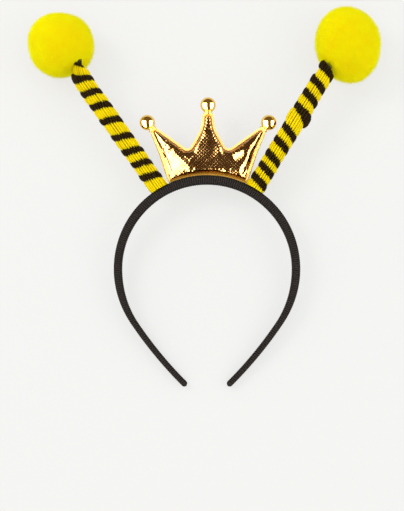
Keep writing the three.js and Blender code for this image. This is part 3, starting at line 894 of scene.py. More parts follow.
@dataclass
class Antenna:
    """One springy antenna: a hidden stem wound with a yellow and a black chenille cord.

    The turns are the places, as shares of the length, where the black cord crosses the front.
    """

    side: Side
    length: float
    lean: float
    turns: tuple[float, ...]
    black_share: float
    black_start: float
    black_end: float
    bend: float
    bend_from: float
    slim: float
    slim_from: float
    lump_at: float = 0.0
    lump_reach: float = 1.0
    lump_height: float = 0.0
    knot_turn: float = 0.0
    knot_reach: float = 1.0
    knot_swell: float = 0.0
    seat_angle: float = 30.7
    stem_radius: float = 2.2
    yellow_radius: float = 6.9
    black_radius: float = 7.1
    black_width: float = 5.6
    knot_height: float = 1.8
    buried: float = 3.0
    yellow_short: float = 1.0
    fibre: float = 0.55
    tuft_pitch: float = 2.1
    tuft_depth: float = 1.3
    tuft_reach: float = 0.75
    tuft_stray: float = 0.4
    steps_per_tuft: int = 7
    ring_size: int = 18
    squareness: float = 2.6
    fibre_density: float = 7.4e6
    fibre_radius: float = 0.07
    fibre_lean: float = 0.9

    @property
    def name(self) -> str:
        """The side's name in lower case."""
        return self.side.name.lower()

    def base(self, band: HairBand) -> Array:
        """Where the stem's middle line meets the band's outer face."""
        seat = direction(90 - self.side.value * self.seat_angle)
        return band.outer_radius * np.array([*seat, 0.0])

    def stem_frame(self, distance: Array, band: HairBand) -> tuple[Array, Array]:
        """The stem's middle line, straight and then bent upright.

        Args:
            distance: Distances from the band.
            band: The band that carries it.

        Returns:
            The places, and the directions to the viewer's right across the stem.
        """
        sign = self.side.value
        bend_start = self.bend_from * self.length
        bend_length = self.length - bend_start
        straight = np.minimum(distance, bend_start)
        over = np.clip(distance - bend_start, 0, bend_length)
        past = np.maximum(0, distance - self.length)
        lean0 = math.radians(self.lean)
        bend = math.radians(self.bend)
        lean = lean0 - bend * over / bend_length

        def heading(angle: Array) -> Array:
            return np.stack([sign * np.sin(angle), np.cos(angle), np.zeros_like(angle)], axis=-1)

        start = heading(np.full_like(distance, lean0))
        place = self.base(band) + straight[:, None] * start
        if bend:
            radius = bend_length / bend
            quarter = math.pi / 2
            swing = heading(lean + quarter) - heading(np.full_like(distance, lean0 + quarter))
            place = place + radius * swing
            place = place + past[:, None] * heading(lean)
        else:
            place = place + (distance - straight)[:, None] * start
        on = heading(lean)
        right = np.stack([on[:, 1], -on[:, 0], np.zeros_like(distance)], axis=-1)
        return place, right

    def wound_place(self, distance: Array, radius: Array, wound: Array, band: HairBand) -> Array:
        """Points on the antenna, so far along, so far out and so far around from the viewer's side."""
        place, right = self.stem_frame(distance, band)
        across = -(radius * np.sin(wound))[:, None] * right
        out = (radius * np.cos(wound))[:, None] * np.array([0.0, 0.0, 1.0])
        return place + across + out

    def black_at(self, turn: Array) -> Array:
        """How far along the stem the black cord is after so many turns from its first crossing."""
        shares = np.array(self.turns)
        last = len(shares) - 1
        before = 2 * shares[0] - shares[1]
        after = 2 * shares[-1] - shares[-2]
        padded = np.concatenate([[before], shares, [after]])
        i = np.clip(np.floor(turn).astype(int), 0, last - 1)
        t = turn - i
        here, on = padded[i + 1], padded[i + 2]
        slope_in = (padded[i + 2] - padded[i]) / 2
        slope_out = (padded[i + 3] - padded[i + 1]) / 2
        t2, t3 = t * t, t * t * t
        smooth = (2 * t3 - 3 * t2 + 1) * here + (t3 - 2 * t2 + t) * slope_in
        smooth = smooth + (3 * t2 - 2 * t3) * on + (t3 - t2) * slope_out
        low = shares[0] + turn * (shares[1] - shares[0])
        high = shares[-1] + (turn - last) * (shares[-1] - shares[-2])
        return self.length * np.where(turn < 0, low, np.where(turn > last, high, smooth))

    def outer_scale(self, distance: Array) -> Array:
        """How much thinner the winding is along its slim end."""
        return mixed(1.0, self.slim, eased(distance / self.length, self.slim_from, self.slim_from + 0.03))

    def lump(self, distance: Array) -> Array:
        """How far the winding bulges where the cords were joined."""
        off = (distance / self.length - self.lump_at) / self.lump_reach
        return self.lump_height * np.exp(-off * off)

    def knot_at(self, turn: Array) -> Array:
        """How much the black cord swells at its knot, from nought to one."""
        off = (turn - self.knot_turn) / self.knot_reach
        return np.exp(-off * off)

    def black_half(self, turn: Array) -> Array:
        """Half of the black cord's width along the stem."""
        half = self.black_width / 2 * self.black_share * self.outer_scale(self.black_at(turn))
        return half * (1 + self.knot_swell * self.knot_at(turn))

    def cord_edges(self, cord: Cord, turn: Array) -> tuple[Array, Array]:
        """The two edges of a cord, as distances along the stem, at each turn."""
        half = self.black_half(turn)
        if cord is Cord.BLACK:
            middle = self.black_at(turn)
            return middle - half, middle + half
        taken = eased(turn, self.black_start - 0.2, self.black_start - 0.05)
        return self.black_at(turn) + mixed(-half, half, taken), self.black_at(turn + 1) - self.black_half(turn + 1)

    def turn_span(self, cord: Cord) -> tuple[float, float]:
        """The turns at which a cord starts and ends."""
        if cord is Cord.BLACK:
            return self.black_start, self.black_end
        start = np.array([0.0])
        first = float(self.black_at(start)[0])
        pitch = float(self.black_at(start + 1)[0]) - first
        start_turn = -1 - (first - float(self.black_half(start)[0]) + self.buried) / pitch
        return start_turn, self.black_end - self.yellow_short

    def build_cord(self, cord: Cord, finish: DyedPile, pile: GrowthTree, band: HairBand, plane: DrawingPlane):
        """Wind one cord: a soft tufted sweep with fibres on it.

        Args:
            cord: Which of the two cords.
            finish: Its dyed pile.
            pile: The tree that grows the fibres.
            band: The band that the antenna stands on.
            plane: The drawing plane.

        Returns:
            The declared piece.
        """
        outer_full = self.yellow_radius if cord is Cord.YELLOW else self.black_radius
        first, last = self.turn_span(cord)
        per_turn = round(2 * math.pi * outer_full / self.tuft_pitch) * self.steps_per_tuft
        count = round((last - first) * per_turn)
        turn = np.linspace(first, last, count + 1)
        low, high = self.cord_edges(cord, turn)
        middle = (low + high) / 2
        station = np.arange(count + 1)
        wave = np.abs(np.sin(math.pi * station / self.steps_per_tuft))
        seed = 11 + self.side.value + (5 if cord is Cord.BLACK else 0)
        stray = np.random.default_rng(seed).uniform(-1, 1, (2, count // self.steps_per_tuft + 2))
        stray = self.tuft_stray * stray[:, station // self.steps_per_tuft] * wave
        tuft = self.tuft_depth * (1 - wave)
        # Painted shade: some grooves between tufts are open and painted dark, and others are closed by their fibres
        # and stay light
        open_groove_shade = np.random.default_rng(seed + 40).uniform(0.1, 1.0, count // self.steps_per_tuft + 2)
        groove = (1 - wave) * open_groove_shade[np.rint(station / self.steps_per_tuft).astype(int)]
        outer = outer_full * self.outer_scale(middle) + self.lump(middle) - self.fibre * 0.8 + stray[1]
        if cord is Cord.BLACK:
            outer = outer + self.knot_height * self.knot_swell * self.knot_at(turn)
        inner = np.full_like(outer, self.stem_radius + 0.3)
        outer = np.maximum(inner + 1, outer)
        taper = eased(np.arange(count + 1), 0, 6) * eased(np.arange(count, -1, -1.0), 0, 6)
        half_width = ((high - low) / 2 + self.tuft_reach + stray[0] - tuft) * mixed(0.3, 1.0, taper)
        half_thick = ((outer - inner) / 2) * mixed(0.5, 1.0, taper)
        centre = inner + half_thick
        angle = around(self.ring_size)
        across, out = squared(np.cos(angle), self.squareness), squared(np.sin(angle), self.squareness)
        distance = middle[:, None] + half_width[:, None] * across[None, :]
        radius = centre[:, None] + half_thick[:, None] * out[None, :] - tuft[:, None] * np.maximum(0, out)[None, :]
        wound = np.repeat(2 * math.pi * turn, self.ring_size)
        points = self.wound_place(distance.ravel(), radius.ravel(), wound, band)
        # Nothing of the cord reaches into the band that it stands on
        from_centre = np.hypot(points[:, 0], points[:, 1])
        floor = band.outer_radius - 0.2
        lift = np.where(from_centre < floor, floor / from_centre, 1.0)
        points[:, :2] *= lift[:, None]
        hidden = np.tile(out < -0.2, count + 1) | np.repeat(wave < 0.3, self.ring_size)
        bare = np.where(hidden | (from_centre < floor), 1.0, 0.0)
        # The tuft attribute is low in open grooves, where the pile's colour gets painted shade
        attributes = {"bare": bare, "tuft": np.repeat(1 - groove, self.ring_size)}
        name = f"{cord.value}_cord_{self.name}"
        thing = mesh_object(name, plane.place(points), loft_faces(count + 1, self.ring_size), attributes)
        values = {
            "Density": self.fibre_density,
            "Fibre length": self.fibre * MM,
            "Fibre radius": self.fibre_radius * MM,
            "Lean": self.fibre_lean,
            "Seed": seed,
            "Material": finish.material(),
        }
        pile.grow(thing, values)
        node = f"{cord.value}_chenille_{self.name}"
        return declare(thing, f"{cord.value}_chenille", node)


# In each cord the deep colour is painted shade in the open grooves between tufts
CORD_FINISHES = {
    Cord.YELLOW: DyedPile(
        "yellow_chenille_pile",
        light="E2CC04",
        deep_tone_and_shade="A07400",
        groove_shade_share=0.62,
        span=(0.3, 0.72),
    ),
    Cord.BLACK: DyedPile(
        "black_chenille_pile",
        light="2A1E0C",
        deep_tone_and_shade="040201",
        sheen=0.0,
        groove_shade_share=0.7,
        span=(0.35, 0.85),
        gloss=0.04,
    ),
}

LEFT_ANTENNA = Antenna(
    side=Side.LEFT,
    length=101.0,
    lean=35.3,
    turns=(0.099, 0.205, 0.306, 0.423, 0.557, 0.678, 0.785, 0.893, 0.992),
    black_share=0.83,
    black_start=-0.45,
    black_end=8.5,
    knot_turn=8.3,
    knot_reach=0.5,
    knot_swell=-0.35,
    bend=35.0,
    bend_from=0.871,
    slim=0.66,
    slim_from=0.925,
)
RIGHT_ANTENNA = Antenna(
    side=Side.RIGHT,
    length=0.96 * 101.0,
    lean=31.3,
    turns=(0.057, 0.151, 0.243, 0.357, 0.458, 0.624, 0.742, 0.847, 0.96),
    black_share=0.87,
    black_start=-0.45,
    black_end=8.7,
    bend=0.0,
    bend_from=0.9,
    slim=1.0,
    slim_from=0.95,
    lump_at=0.575,
    lump_reach=0.055,
    lump_height=1.0,
    knot_turn=4.8,
    knot_reach=0.17,
    knot_swell=0.55,
    yellow_short=1.5,
)


# The pompoms


@dataclass
class Pompom:
    """A trimmed ball of yellow fibre at the end of an antenna."""

    antenna: Antenna
    along: float
    across: float
    half_width: float
    half_height: float
    tilt: float
    seed: int
    radius: float = 22.0
    setback: float = 8.0
    fibre: float = 3.0
    fibre_density: float = 4.5e6
    fibre_radius: float = 0.11
    fibre_lean: float = 0.55
    sunk: float = 0.55
    lumps: float = 0.06
    lump_count: int = 26
    floor: float = 0.85
    finish: DyedPile = field(
        default_factory=lambda: DyedPile(
            "pompom_fibre",
            light="E6D900",
            deep_tone_and_shade="E6D000",
            blotch_mm=9.0,
            sheen=0.1,
            subsurface=0.8,
            # A faint glow: painted light that brightens the fibre
            glow=0.1,
        )
    )

    def centre(self, band: HairBand) -> Array:
        """The ball's middle, placed along and across the straight line of its stem."""
        lean = math.radians(self.antenna.lean)
        on = np.array([self.antenna.side.value * math.sin(lean), math.cos(lean), 0.0])
        right = np.array([on[1], -on[0], 0.0])
        along, across = self.along * self.antenna.length, self.across * self.radius
        return self.antenna.base(band) + on * along + right * across - np.array([0.0, 0.0, self.setback])

    def build(self, pile: GrowthTree, band: HairBand, plane: DrawingPlane) -> bpy.types.Object:
        """Shape the heart of the ball and grow its fibres."""
        shape = bmesh.new()
        bmesh.ops.create_icosphere(shape, subdivisions=5, radius=1.0)
        unit = np.array([v.co[:] for v in shape.verts])
        faces = [[v.index for v in f.verts] for f in shape.faces]
        shape.free()
        rng = np.random.default_rng(self.seed)
        swell = np.zeros(len(unit))
        for _ in range(self.lump_count):
            way = rng.normal(size=3)
            way /= np.linalg.norm(way)
            swell += rng.uniform(-1, 1) * np.exp(-((1 - unit @ way) / rng.uniform(0.03, 0.12)))
        swell = 1 + self.lumps * np.clip(swell, -1.2, 1.2)
        size = np.array([self.half_width, self.half_height, 1.0]) * self.radius - self.fibre * self.sunk
        points = unit * swell[:, None] * size
        tilt = math.radians(self.tilt)
        turn = np.array([[math.cos(tilt), -math.sin(tilt), 0], [math.sin(tilt), math.cos(tilt), 0], [0, 0, 1]])
        points = points @ turn.T + self.centre(band)
        bare = self.covered(points, band)
        places = plane.place(points)
        # It rests on the table with its lowest fibres pressed flat
        bare = np.maximum(bare, np.where(places[:, 2] < self.fibre * 1.2 * MM, 1.0, 0.0))
        places[:, 2] = np.maximum(places[:, 2], self.floor * MM)
        name = f"pompom_ball_{self.antenna.name}"
        thing = mesh_object(name, places, faces, {"bare": bare})
        values = {
            "Density": self.fibre_density,
            "Fibre length": self.fibre * MM,
            "Fibre radius": self.fibre_radius * MM,
            "Lean": self.fibre_lean,
            "Seed": self.seed,
            "Material": self.finish.material(),
        }
        pile.grow(thing, values)
        return declare(thing, "pompom_yarn", f"pompom_{self.antenna.name}")

    def covered(self, points: Array, band: HairBand) -> Array:
        """One at the points that the wound end of the antenna covers, and nought elsewhere."""
        if not self.antenna.bend:
            return np.zeros(len(points))
        stations = np.linspace(self.antenna.bend_from * self.antenna.length, self.antenna.length, 24)
        line, _ = self.antenna.stem_frame(stations, band)
        reach = self.antenna.yellow_radius * self.antenna.outer_scale(stations) + 0.8
        gaps = np.linalg.norm(points[:, None, :] - line[None, :, :], axis=2) - reach[None, :]
        return np.where(gaps.min(axis=1) < 0, 1.0, 0.0)


# The crown


@dataclass
class CrownCorner:
    """A corner of the right half of the crown's piping."""

    across: float
    rise: float
    round: float
    point: bool = False


@dataclass
class Flank:
    """A side of the crown's face that falls away from a crease."""

    crease_from: tuple[float, float]
    crease_to: tuple[float, float]
    slope: float

    def fall(self, flat: Array) -> Array:
        """How far the face has fallen at each point past the crease."""
        start = np.array(self.crease_from)
        on = np.array(self.crease_to) - start
        on /= np.linalg.norm(on)
        outward = np.array([on[1], -on[0]]) * (1 if start[0] < 0 else -1)
        past = (flat - start) @ outward
        return self.slope * 0.5 * (past + np.sqrt(past * past + 0.5))


@dataclass
class Crinkle:
    """A small raised fold in the foil."""

    x: float
    y: float
    turn: float
    length: float
    width: float
    height: float
    skew: float = 0.0

    def lift(self, flat: Array) -> Array:
        """How far the fold lifts the foil at each point."""
        turn = math.radians(self.turn)
        off = flat - np.array([self.x, self.y])
        on = off @ np.array([math.cos(turn), math.sin(turn)])
        across = off @ np.array([-math.sin(turn), math.cos(turn)])
        width = self.width * (1 + self.skew * np.sign(across))
        return self.height * np.exp(-((on / self.length) ** 2) - (across / width) ** 2)


@dataclass
class Crown:
    """A small padded crown in gold foil, with a piped edge and a bead on each of its three points."""

    half_span: float = 40.6
    base_radius: float = 64.0
    height: float = 41.15
    centre_shift: float = 0.7
    seat_half_angle: float = 23.8
    seat_round: float = 1.5
    clearance: float = 0.3
    piping_radius: float = 1.0
    piping_sides: int = 28
    side_welt: float = 4.6
    bevel_height: float = 1.6
    bevel_crest: float = 0.38
    pad_half_depth: float = 4.8
    pad_shoulder: float = 4.2
    tight_shoulder: float = 1.8
    # Where the painted fold shade lies on the pad, inside each side welt
    fold_shade_from: float = 1.1
    fold_shade_width: float = 0.55
    grid_spacing: float = 1.15
    bead_radius: float = 5.3
    bead_sides: int = 48
    pucker_pitch: float = 2.0
    pucker_middle: float = 1.0
    pucker_reach: float = 0.8
    pucker_depth: float = 0.3
    pressure: float = 4.0
    extra_fabric: float = 0.015
    settle_frames: int = 20
    most_moved: float = 0.5
    model_scale: float = 14.0
    cloth: tuple[tuple[str, Any], ...] = (
        ("quality", 6),
        ("mass", 0.25),
        ("tension_stiffness", 30),
        ("compression_stiffness", 30),
        ("shear_stiffness", 12),
        ("bending_stiffness", 0.3),
        ("use_pressure", True),
        ("vertex_group_mass", "seam"),
    )
    flanks: tuple[Flank, ...] = (
        Flank((-36.6, 95.7), (-9.2, 66.4), 0.27),
        Flank((38.9, 96.3), (19.4, 63.2), 0.5),
    )
    crinkles: tuple[Crinkle, ...] = (
        Crinkle(26.8, 79.2, 92, 5.6, 5.2, 1.9, skew=0.25),
        Crinkle(8.8, 80.0, 82, 6.0, 4.6, 0.75, skew=-0.2),
        Crinkle(-9.8, 76.2, 63, 4.5, 0.8, 0.28),
        Crinkle(2.5, 74.0, 35, 5.0, 1.5, 0.14),
        Crinkle(-14.0, 76.0, 140, 4.0, 1.0, 0.18),
        Crinkle(12.0, 71.0, 15, 6.0, 1.6, 0.12),
        Crinkle(-26.0, 86.0, 132, 5.0, 0.7, 0.15),
    )
    corners: tuple[CrownCorner, ...] = (
        CrownCorner(0.792, 0.345, 60.0),
        CrownCorner(1.0, 0.849, 2.15, point=True),
        CrownCorner(0.315, 0.372, 4.0),
        CrownCorner(0.083, 0.775, 22.0),
        CrownCorner(0.072, 1.0, 1.7),
    )
    pad_finish: FoilCloth = field(default_factory=FoilCloth)
    piping_finish: FoilPiping = field(default_factory=FoilPiping)
    bead_finish: GoldPlatedPlastic = field(default_factory=GoldPlatedPlastic)

    def seat_radius(self, band: HairBand) -> float:
        """Radius of the piping's middle line where it lies along the band."""
        return band.outer_radius + self.clearance + self.piping_radius

    def outline(self, band: HairBand) -> tuple[Array, list[tuple[Array, Array]]]:
        """The middle line of the piping, along the band and back over the three points.

        Args:
            band: The band that the crown stands on.

        Returns:
            The closed line's points, and for each of the crown's points its tip and the way it points.
        """
        seat_radius = self.seat_radius(band)
        seat_steps = 24
        corners: list[tuple[float, float, float, bool]] = []
        for i in range(seat_steps + 1):
            angle = math.radians(mixed(90 + self.seat_half_angle, 90 - self.seat_half_angle, i / seat_steps))
            rounding = self.seat_round if i in (0, seat_steps) else 0.0
            corners.append((seat_radius * math.cos(angle), seat_radius * math.sin(angle), rounding, False))
        for side, row in ((1, self.corners), (-1, self.corners[::-1])):
            for c in row:
                x = side * c.across * self.half_span
                corners.append((x, band.outer_radius + c.rise * self.height, c.round, c.point))
        points, tips = [], []
        for i, (x, y, rounding, is_point) in enumerate(corners):
            here = np.array([x, y])
            back = np.array(corners[i - 1][:2]) - here
            on = np.array(corners[(i + 1) % len(corners)][:2]) - here
            back /= np.linalg.norm(back)
            on /= np.linalg.norm(on)
            half = math.acos(max(-1.0, min(1.0, float(back @ on)))) / 2
            if not rounding or half > math.radians(89.5):
                points.append(here)
                continue
            inward = (back + on) / np.linalg.norm(back + on)
            centre = here + inward * rounding / math.sin(half)
            start = here + back * rounding / math.tan(half) - centre
            sweep = math.pi - 2 * half
            sign = 1 if start[0] * -inward[1] - start[1] * -inward[0] > 0 else -1
            steps = max(2, math.ceil(sweep / math.radians(10)))
            for k in range(steps + 1):
                a = sign * sweep * k / steps
                spoke = np.array([[math.cos(a), -math.sin(a)], [math.sin(a), math.cos(a)]]) @ start
                points.append(centre + spoke)
            if is_point:
                tips.append((centre - inward * rounding, -inward))
        tips.append((np.array([0.0, band.outer_radius + self.height]), np.array([0.0, 1.0])))
        shift = np.array([self.centre_shift, 0.0])
        return np.array(points) + shift, [(tip + shift, way) for tip, way in tips]

    @staticmethod
    def resampled(line: Array, spacing: float) -> Array:
        """Even points along a closed line."""
        closed, lengths = closed_lengths(line)
        count = round(lengths[-1] / spacing)
        places = np.linspace(0, lengths[-1], count, endpoint=False)
        return np.stack([np.interp(places, lengths, closed[:, k]) for k in (0, 1)], axis=1)

    @staticmethod
    def inset(line: Array, distance: Array | float) -> Array:
        """Move a closed line inwards along its own normals."""
        tangent = np.roll(line, -1, axis=0) - np.roll(line, 1, axis=0)
        tangent /= np.linalg.norm(tangent, axis=1)[:, None]
        area = np.sum(line[:, 0] * np.roll(line[:, 1], -1) - np.roll(line[:, 0], -1) * line[:, 1])
        left = np.stack([-tangent[:, 1], tangent[:, 0]], axis=1) * (1 if area > 0 else -1)
        return line + left * np.broadcast_to(distance, (len(line),))[:, None]

    @staticmethod
    def gap_to_line(points: Array, line: Array) -> tuple[Array, Array]:
        """Distance from each point to a closed line, and how far along the line its nearest place is."""
        ahead = np.roll(line, -1, axis=0)
        step = ahead - line
        length = np.linalg.norm(step, axis=1)
        start = np.concatenate([[0], np.cumsum(length)[:-1]])
        best = np.full(len(points), np.inf)
        along = np.zeros(len(points))
        for i in range(len(line)):
            t = np.clip(((points - line[i]) @ step[i]) / length[i] ** 2, 0, 1)
            gap = np.linalg.norm(points - line[i] - t[:, None] * step[i], axis=1)
            nearer = gap < best
            best[nearer] = gap[nearer]
            along[nearer] = start[i] + t[nearer] * length[i]
        return best, along

    def on_centre_point(self, flat: Array) -> Array:
        """One on the crown's centre point, and nought away from it."""
        return eased(flat[:, 1], 76, 83) * (1 - eased(np.abs(flat[:, 0] - self.centre_shift), 9, 12))

    def plumpness(self, flat: Array, inside: Array) -> Array:
        """Half of the pad's thickness at each point: full in the middle, and rounded off towards the seam.

        Args:
            flat: The points in the drawing plane.
            inside: How far each one is from the seam.

        Returns:
            The half thickness in millimetres.
        """
        on_base = 1 - eased(np.hypot(flat[:, 0], flat[:, 1]) - self.base_radius, 2, 6)
        tight = np.maximum(on_base, self.on_centre_point(flat))
        share = np.clip(inside / mixed(self.pad_shoulder, self.tight_shoulder, tight), 0, 1)
        rounded = np.sqrt(1 - (1 - share) ** 2)
        return rounded * self.pad_half_depth * mixed(0.93, 1.0, eased(inside, 2, 11))

    def inflate(self, points: Array, faces: list[list[int]], seam: Array) -> Array:
        """Blow up the sewn pad as cloth, which rounds it and puckers the spare fabric.

        Args:
            points: The pad's points in millimetres, with its seam in the drawing plane.
            faces: The pad's faces.
            seam: Numbers of the points on the seam, which stay where they are.

        Returns:
            The settled points, none of them moved more than the cap.
        """
        # Cloth behaves best at about a metre, so the pad is simulated many times its size
        start = points - points.mean(axis=0)
        model = mesh_object("pad_cloth", start * MM * self.model_scale, faces)
        pinned = model.vertex_groups.new(name="seam")
        pinned.add(seam.tolist(), 1.0, "REPLACE")
        cloth = model.modifiers.new("stuffing", "CLOTH")
        settings = cloth.settings
        for key, value in self.cloth:
            setattr(settings, key, value)
        settings.uniform_pressure_force = self.pressure
        settings.shrink_min = -self.extra_fabric
        settings.effector_weights.gravity = 0
        cloth.point_cache.frame_start = 1
        cloth.point_cache.frame_end = self.settle_frames
        scene = bpy.context.scene
        for number in range(1, self.settle_frames + 1):
            scene.frame_set(number)
        settled = model.evaluated_get(bpy.context.evaluated_depsgraph_get())
        after = np.empty(len(points) * 3, dtype=np.float32)
        settled.data.vertices.foreach_get("co", after)
        scene.frame_set(1)
        bpy.data.objects.remove(model)
        moved = after.reshape(-1, 3) / (MM * self.model_scale) - start
        reach = np.linalg.norm(moved, axis=1)
        moved *= np.minimum(1, self.most_moved / np.maximum(reach, 1e-6))[:, None]
        log.info("pad cloth: moved %.2f mm on average", float(reach.mean()))
        return points + moved

    def build_pad(self, line: Array, band: HairBand, plane: DrawingPlane) -> bpy.types.Object:
        """Make the stuffed body: two foil faces that meet at a seam under the piping, with puckers.

        Args:
            line: The piping's middle line.
            band: The band that the crown stands on.
            plane: The drawing plane.

        Returns:
            The declared piece.
        """
        seam = self.resampled(self.inset(self.resampled(line, 0.5), 0.35), 0.9)
        low, high = seam.min(axis=0), seam.max(axis=0)
        spacing = self.grid_spacing
        grid = []
        for row, y in enumerate(np.arange(low[1], high[1], spacing * 0.866)):
            for x in np.arange(low[0] + (row % 2) * spacing / 2, high[0], spacing):
                grid.append((x, y))
        grid = np.array(grid)
        gap, _ = self.gap_to_line(grid, seam)
        grid = grid[gap > 0.55 * spacing]
        everything = np.vstack([seam, grid])
        edges = [(i, (i + 1) % len(seam)) for i in range(len(seam))]
        result = delaunay_2d_cdt([Vector(p) for p in everything], edges, [], 1, 1e-5)
        flat = np.array([v[:] for v in result[0]])
        faces = [list(f) for f in result[2]]
        used = sorted({i for f in faces for i in f})
        number = {old: new for new, old in enumerate(used)}
        flat = flat[used]
        faces = [[number[i] for i in f] for f in faces]
        gap, _ = self.gap_to_line(flat, seam)
        on_seam = gap < 1e-3
        height = self.plumpness(flat, gap)
        height[on_seam] = 0.0
        inner = np.flatnonzero(~on_seam)
        back_number = np.arange(len(flat))
        back_number[inner] = len(flat) + np.arange(len(inner))
        points = np.vstack([np.column_stack([flat, height]), np.column_stack([flat[inner], -height[inner]])])
        faces = faces + [[int(back_number[i]) for i in f[::-1]] for f in faces]
        points = self.inflate(points, faces, np.flatnonzero(on_seam))
        thing = mesh_object("crown_body", points, faces)
        rounder = thing.modifiers.new("round_out", "SUBSURF")
        rounder.levels = rounder.render_levels = 2
        depsgraph = bpy.context.evaluated_depsgraph_get()
        fine = bpy.data.meshes.new_from_object(thing.evaluated_get(depsgraph), depsgraph=depsgraph)
        thing.modifiers.remove(rounder)
        thing.data = fine
        places = np.empty(len(fine.vertices) * 3, dtype=np.float32)
        fine.vertices.foreach_get("co", places)
        places = places.reshape(-1, 3).astype(float)
        # The pad's painted fold shade, dark beside each side welt
        fold_shade = fine.attributes.new("fold_shade", "FLOAT", "POINT")
        fold_shade.data.foreach_set("value", self.fold_shade_depth(places[:, :2], seam, band).astype(np.float32))
        places = self.puckered(places, seam)
        fine.vertices.foreach_set("co", plane.place(places).astype(np.float32).ravel())
        fine.update()
        thing.data.materials.append(self.pad_finish.material())
        declare(thing, "gold_foil", "crown_pad")
        return thing

    def puckered(self, points: Array, seam: Array) -> Array:
        """Crease the foil's flanks, gather it along its seam, and crinkle its face."""
        flat = points[:, :2]
        gap, along = self.gap_to_line(flat, seam)
        fine = mixed(0.12, 1.0, self.on_centre_point(flat))
        near = np.exp(-(((gap - self.pucker_middle) / self.pucker_reach) ** 2))
        waves = np.cos(2 * math.pi * along / self.pucker_pitch) * near
        lift = self.pucker_depth * fine * waves * eased(gap, 0.2, 1.0)
        for crinkle in self.crinkles:
            lift = lift + crinkle.lift(flat) * eased(gap, 0.3, 1.5)
        lifted = points.copy()
        fallen = sum(flank.fall(flat) for flank in self.flanks) / self.pad_half_depth
        lifted[:, 2] *= np.maximum(1 - fallen, 0.15)
        lifted[:, 2] += np.sign(points[:, 2]) * lift
        return lifted

    def roof(self, across: Array) -> Array:
        """Profile of the bevelled edge: a long outer slope up to a crest near its inner side."""
        crest = self.bevel_crest
        slopes = np.minimum((1 + across) / (1 + crest), (1 - across) / (1 - crest))
        return np.clip(slopes, 0, 0.97)

    def welt(self, line: Array, band: HairBand) -> tuple[Array, Array]:
        """Which places on the crown's edge carry a broad side welt, and how wide the edge is there.

        Args:
            line: Places on the edge's middle line.
            band: The band that the crown stands on.

        Returns:
            One on the outer sides and nought elsewhere, and the width in millimetres.
        """
        x = np.abs(line[:, 0] - self.centre_shift)
        rise = (line[:, 1] - band.outer_radius) / self.height
        outer_edge = np.interp(rise, [0.03, 0.849], [0.655, 1.0]) * self.half_span
        on_side = eased(x, outer_edge - 2.5, outer_edge - 0.6) * eased(rise, 0.0, 0.05)
        return on_side, mixed(2 * self.piping_radius, self.side_welt, on_side * (1 - eased(rise, 0.0, 0.85)))

    def fold_shade_depth(self, flat: Array, seam: Array, band: HairBand) -> Array:
        """How far each point of the pad lies in the painted fold shade along the inner edge of a side welt."""
        gap, along = self.gap_to_line(flat, seam)
        closed, lengths = closed_lengths(seam)
        nearest = np.stack([np.interp(along, lengths, closed[:, k]) for k in (0, 1)], axis=1)
        on_side, reach = self.welt(nearest, band)
        return on_side * np.exp(-(((gap - reach + self.fold_shade_from) / self.fold_shade_width) ** 2))

    def build_piping(self, line: Array, band: HairBand, plane: DrawingPlane) -> bpy.types.Object:
        """Sweep the bright edge around the crown, with a broad flat welt down each outer side."""
        middle = self.resampled(line, 0.6)
        on_side, reach = self.welt(middle, band)
        from_seat = np.hypot(*(middle - [self.centre_shift, 0]).T) - self.seat_radius(band)
        on_seat = 1 - eased(np.abs(from_seat), 0.3, 0.9)
        to_band = np.hypot(*middle.T) - self.piping_radius - band.outer_radius + 0.1
        half_width = (reach + to_band * on_seat) / 2
        outer_line = self.inset(middle, -self.piping_radius - to_band * on_seat)
        centre = self.inset(outer_line, half_width)
        tangent = np.roll(middle, -1, axis=0) - np.roll(middle, 1, axis=0)
        tangent /= np.linalg.norm(tangent, axis=1)[:, None]
        across = np.stack([-tangent[:, 1], tangent[:, 0]], axis=1)
        sides = self.piping_sides
        turn = around(sides)
        flat = centre[:, None, :] + (half_width[:, None] * np.cos(turn))[:, :, None] * across[:, None, :]
        groove = 1 - 0.4 * on_side[:, None] * np.exp(-((np.cos(turn)[None, :] / 0.2) ** 2))
        height = self.piping_radius * mixed(1.0, 1.7, on_side)[:, None] * np.sin(turn)[None, :] * groove
        bevel = self.bevel_height * self.roof(np.cos(turn)) * np.sign(np.sin(turn) + 1e-9)
        on_points = (1 - on_side) * (1 - on_seat)
        height = mixed(height, bevel[None, :], on_points[:, None])
        points = np.concatenate([flat, height[:, :, None]], axis=2).reshape(-1, 3)
        faces = loft_faces(len(middle), sides, loop=True)
        # Painted shade on the edge: dark on each welt's inner side beside the pad, deeper gold on its outer rim,
        # and darker along the band at the seat
        inner = eased(np.cos(turn), 0.55, 0.85)
        rim_shade = 0.5 * eased(-np.cos(turn), 0.45, 0.8)
        base_shade = 0.3 + 0.55 * eased(np.cos(turn), -0.7, 0.0)
        fold_shade = on_side[:, None] * (inner + rim_shade)[None, :] + ((1 - on_side) * on_seat)[:, None] * base_shade[None, :]
        thing = mesh_object("crown_edge", plane.place(points), faces, {"fold_shade": fold_shade.ravel()})
        thing.data.materials.append(self.piping_finish.material())
        return declare(thing, "gold_piping", "crown_piping")

